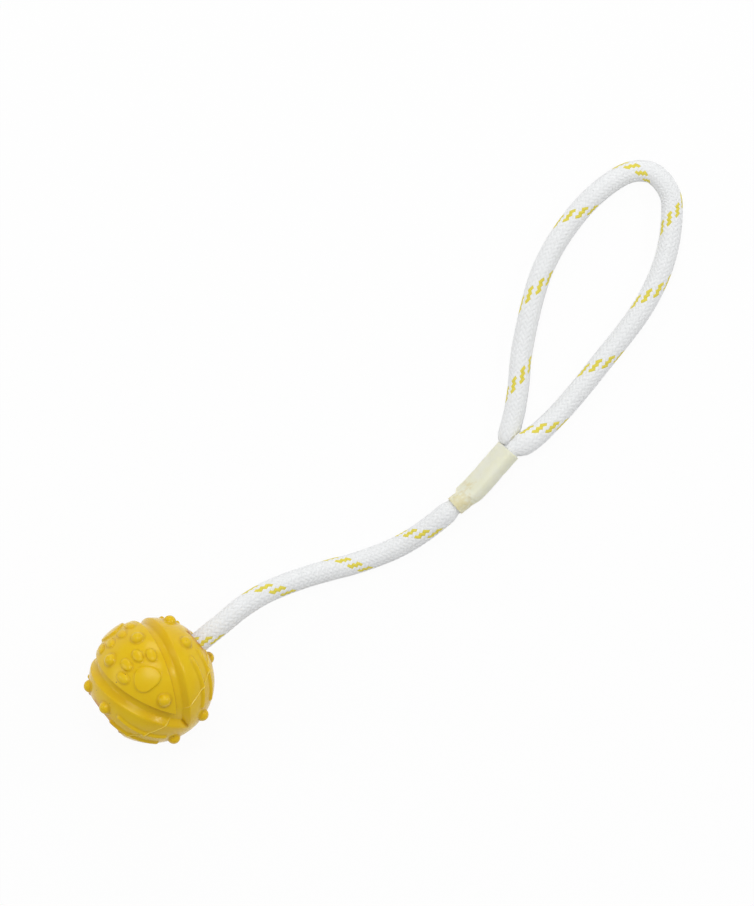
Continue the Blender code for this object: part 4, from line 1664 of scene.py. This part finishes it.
@dataclass
class Studio:
    """The camera, the white floor and the soft lamps."""

    camera_at: Point = (0.1504, 0.0167, 3.0)
    camera_roll: float = math.radians(-39.0)
    lens_mm: float = 247.3
    floor_half: float = 20.0
    floor_drop: float = 0.0001
    floor_matte: Colour = (0.85, 0.85, 0.85)
    floor_glow: Colour = (1.0, 1.0, 1.0)
    whiteness: float = 0.94
    world_strength: float = 0.54
    lamp_distance: float = 1.6
    lit_place: Point = (0.12, 0.01, 0.0)
    # Each lamp's name, bearing, lean, size and power.
    lamps: tuple[tuple[str, float, float, float, float], ...] = (
        ("key", 92.0, 17.0, 0.8, 7.3),
        ("right", 20.0, 52.0, 0.34, 3.8),
        ("upper", 90.0, 64.0, 0.6, 3.6),
        ("left", 175.0, 62.0, 0.7, 3.0),
    )

    def camera(self) -> None:
        """Looks straight down, turned so that the bore's axis points up and to the right."""
        data = bpy.data.cameras.new("camera")
        data.lens = self.lens_mm
        made = placed("camera", data)
        made.location = self.camera_at
        made.rotation_euler = (0.0, 0.0, self.camera_roll)
        bpy.context.scene.camera = made

    def floor(self) -> None:
        """A plain floor that the camera sees as nearly pure white, but for a soft shadow."""
        graph = ShaderGraph("studio_floor")
        path = graph.add("ShaderNodeLightPath").outputs
        camera, glossy, through = (
            Signal(graph, path[f"Is {kind} Ray"]) for kind in ("Camera", "Glossy", "Transmission")
        )
        seen = camera.most(glossy).most(through)
        matte = graph.add("ShaderNodeBsdfDiffuse", {"Color": self.floor_matte})
        white = graph.add("ShaderNodeEmission", {"Color": self.floor_glow, "Strength": 1.0})
        mixed = graph.add(
            "ShaderNodeMixShader", {0: seen * self.whiteness, 1: matte.outputs[0], 2: white.outputs[0]}
        )
        graph.connect(graph.output.inputs["Surface"], mixed.outputs[0])
        half = self.floor_half
        corners = [(-half, -half, 0.0), (half, -half, 0.0), (half, half, 0.0), (-half, half, 0.0)]
        made = mesh_piece("studio_floor", corners, [(0, 1, 2, 3)])
        made.location.z = -self.floor_drop
        made.data.materials.append(graph.material)

    def lamp(self, name: str, bearing: float, lean: float, size: float, watts: float) -> None:
        """One square soft lamp that faces the toy.

        Args:
            name: Its name.
            bearing: Its side of the picture, in degrees from the right toward the top.
            lean: How many degrees it stands off the vertical.
            size: The length of its sides.
            watts: Its power.
        """
        data = bpy.data.lights.new(name, "AREA")
        data.shape = "SQUARE"
        data.size = size
        data.energy = watts
        made = placed(name, data)
        side, off = math.radians(bearing) + self.camera_roll, math.radians(lean)
        away = Vector((math.cos(side) * math.sin(off), math.sin(side) * math.sin(off), math.cos(off)))
        made.location = Vector(self.lit_place) + away * self.lamp_distance
        made.rotation_mode = "QUATERNION"
        made.rotation_quaternion = away.to_track_quat("Z", "Y")

    def light(self) -> None:
        """A plain bright surround and the soft lamps."""
        scene = bpy.context.scene
        world = bpy.data.worlds.new("studio")
        world.use_nodes = True
        back = world.node_tree.nodes["Background"]
        back.inputs["Color"].default_value = (1.0, 1.0, 1.0, 1.0)
        back.inputs["Strength"].default_value = self.world_strength
        scene.world = world
        scene.view_settings.view_transform = "Standard"
        for lamp in self.lamps:
            self.lamp(*lamp)


def main() -> None:
    """Builds every class in order and logs when all pieces are built."""
    logging.basicConfig(level=logging.INFO, format="%(name)s: %(message)s")
    studio = Studio()
    studio.camera()
    sizes = RopeSizes()
    braid = Braid()
    ball = ThrowBall(SpongeRubber())
    stations = SleeveStations(sizes, ball.middle)
    ropes = BraidedRopes(
        BraidedRope(), SealedEnd(), sizes, braid, stations, ball.middle, ball.shape.pocket_floor
    )
    lead, loop = ropes.build()
    sleeve = LoopSleeve(ShrinkSleeve(), sizes, braid, stations).build()
    ball.build()
    studio.floor()
    studio.light()
    LOG.info("all pieces built")


if __name__ == "__main__":
    main()
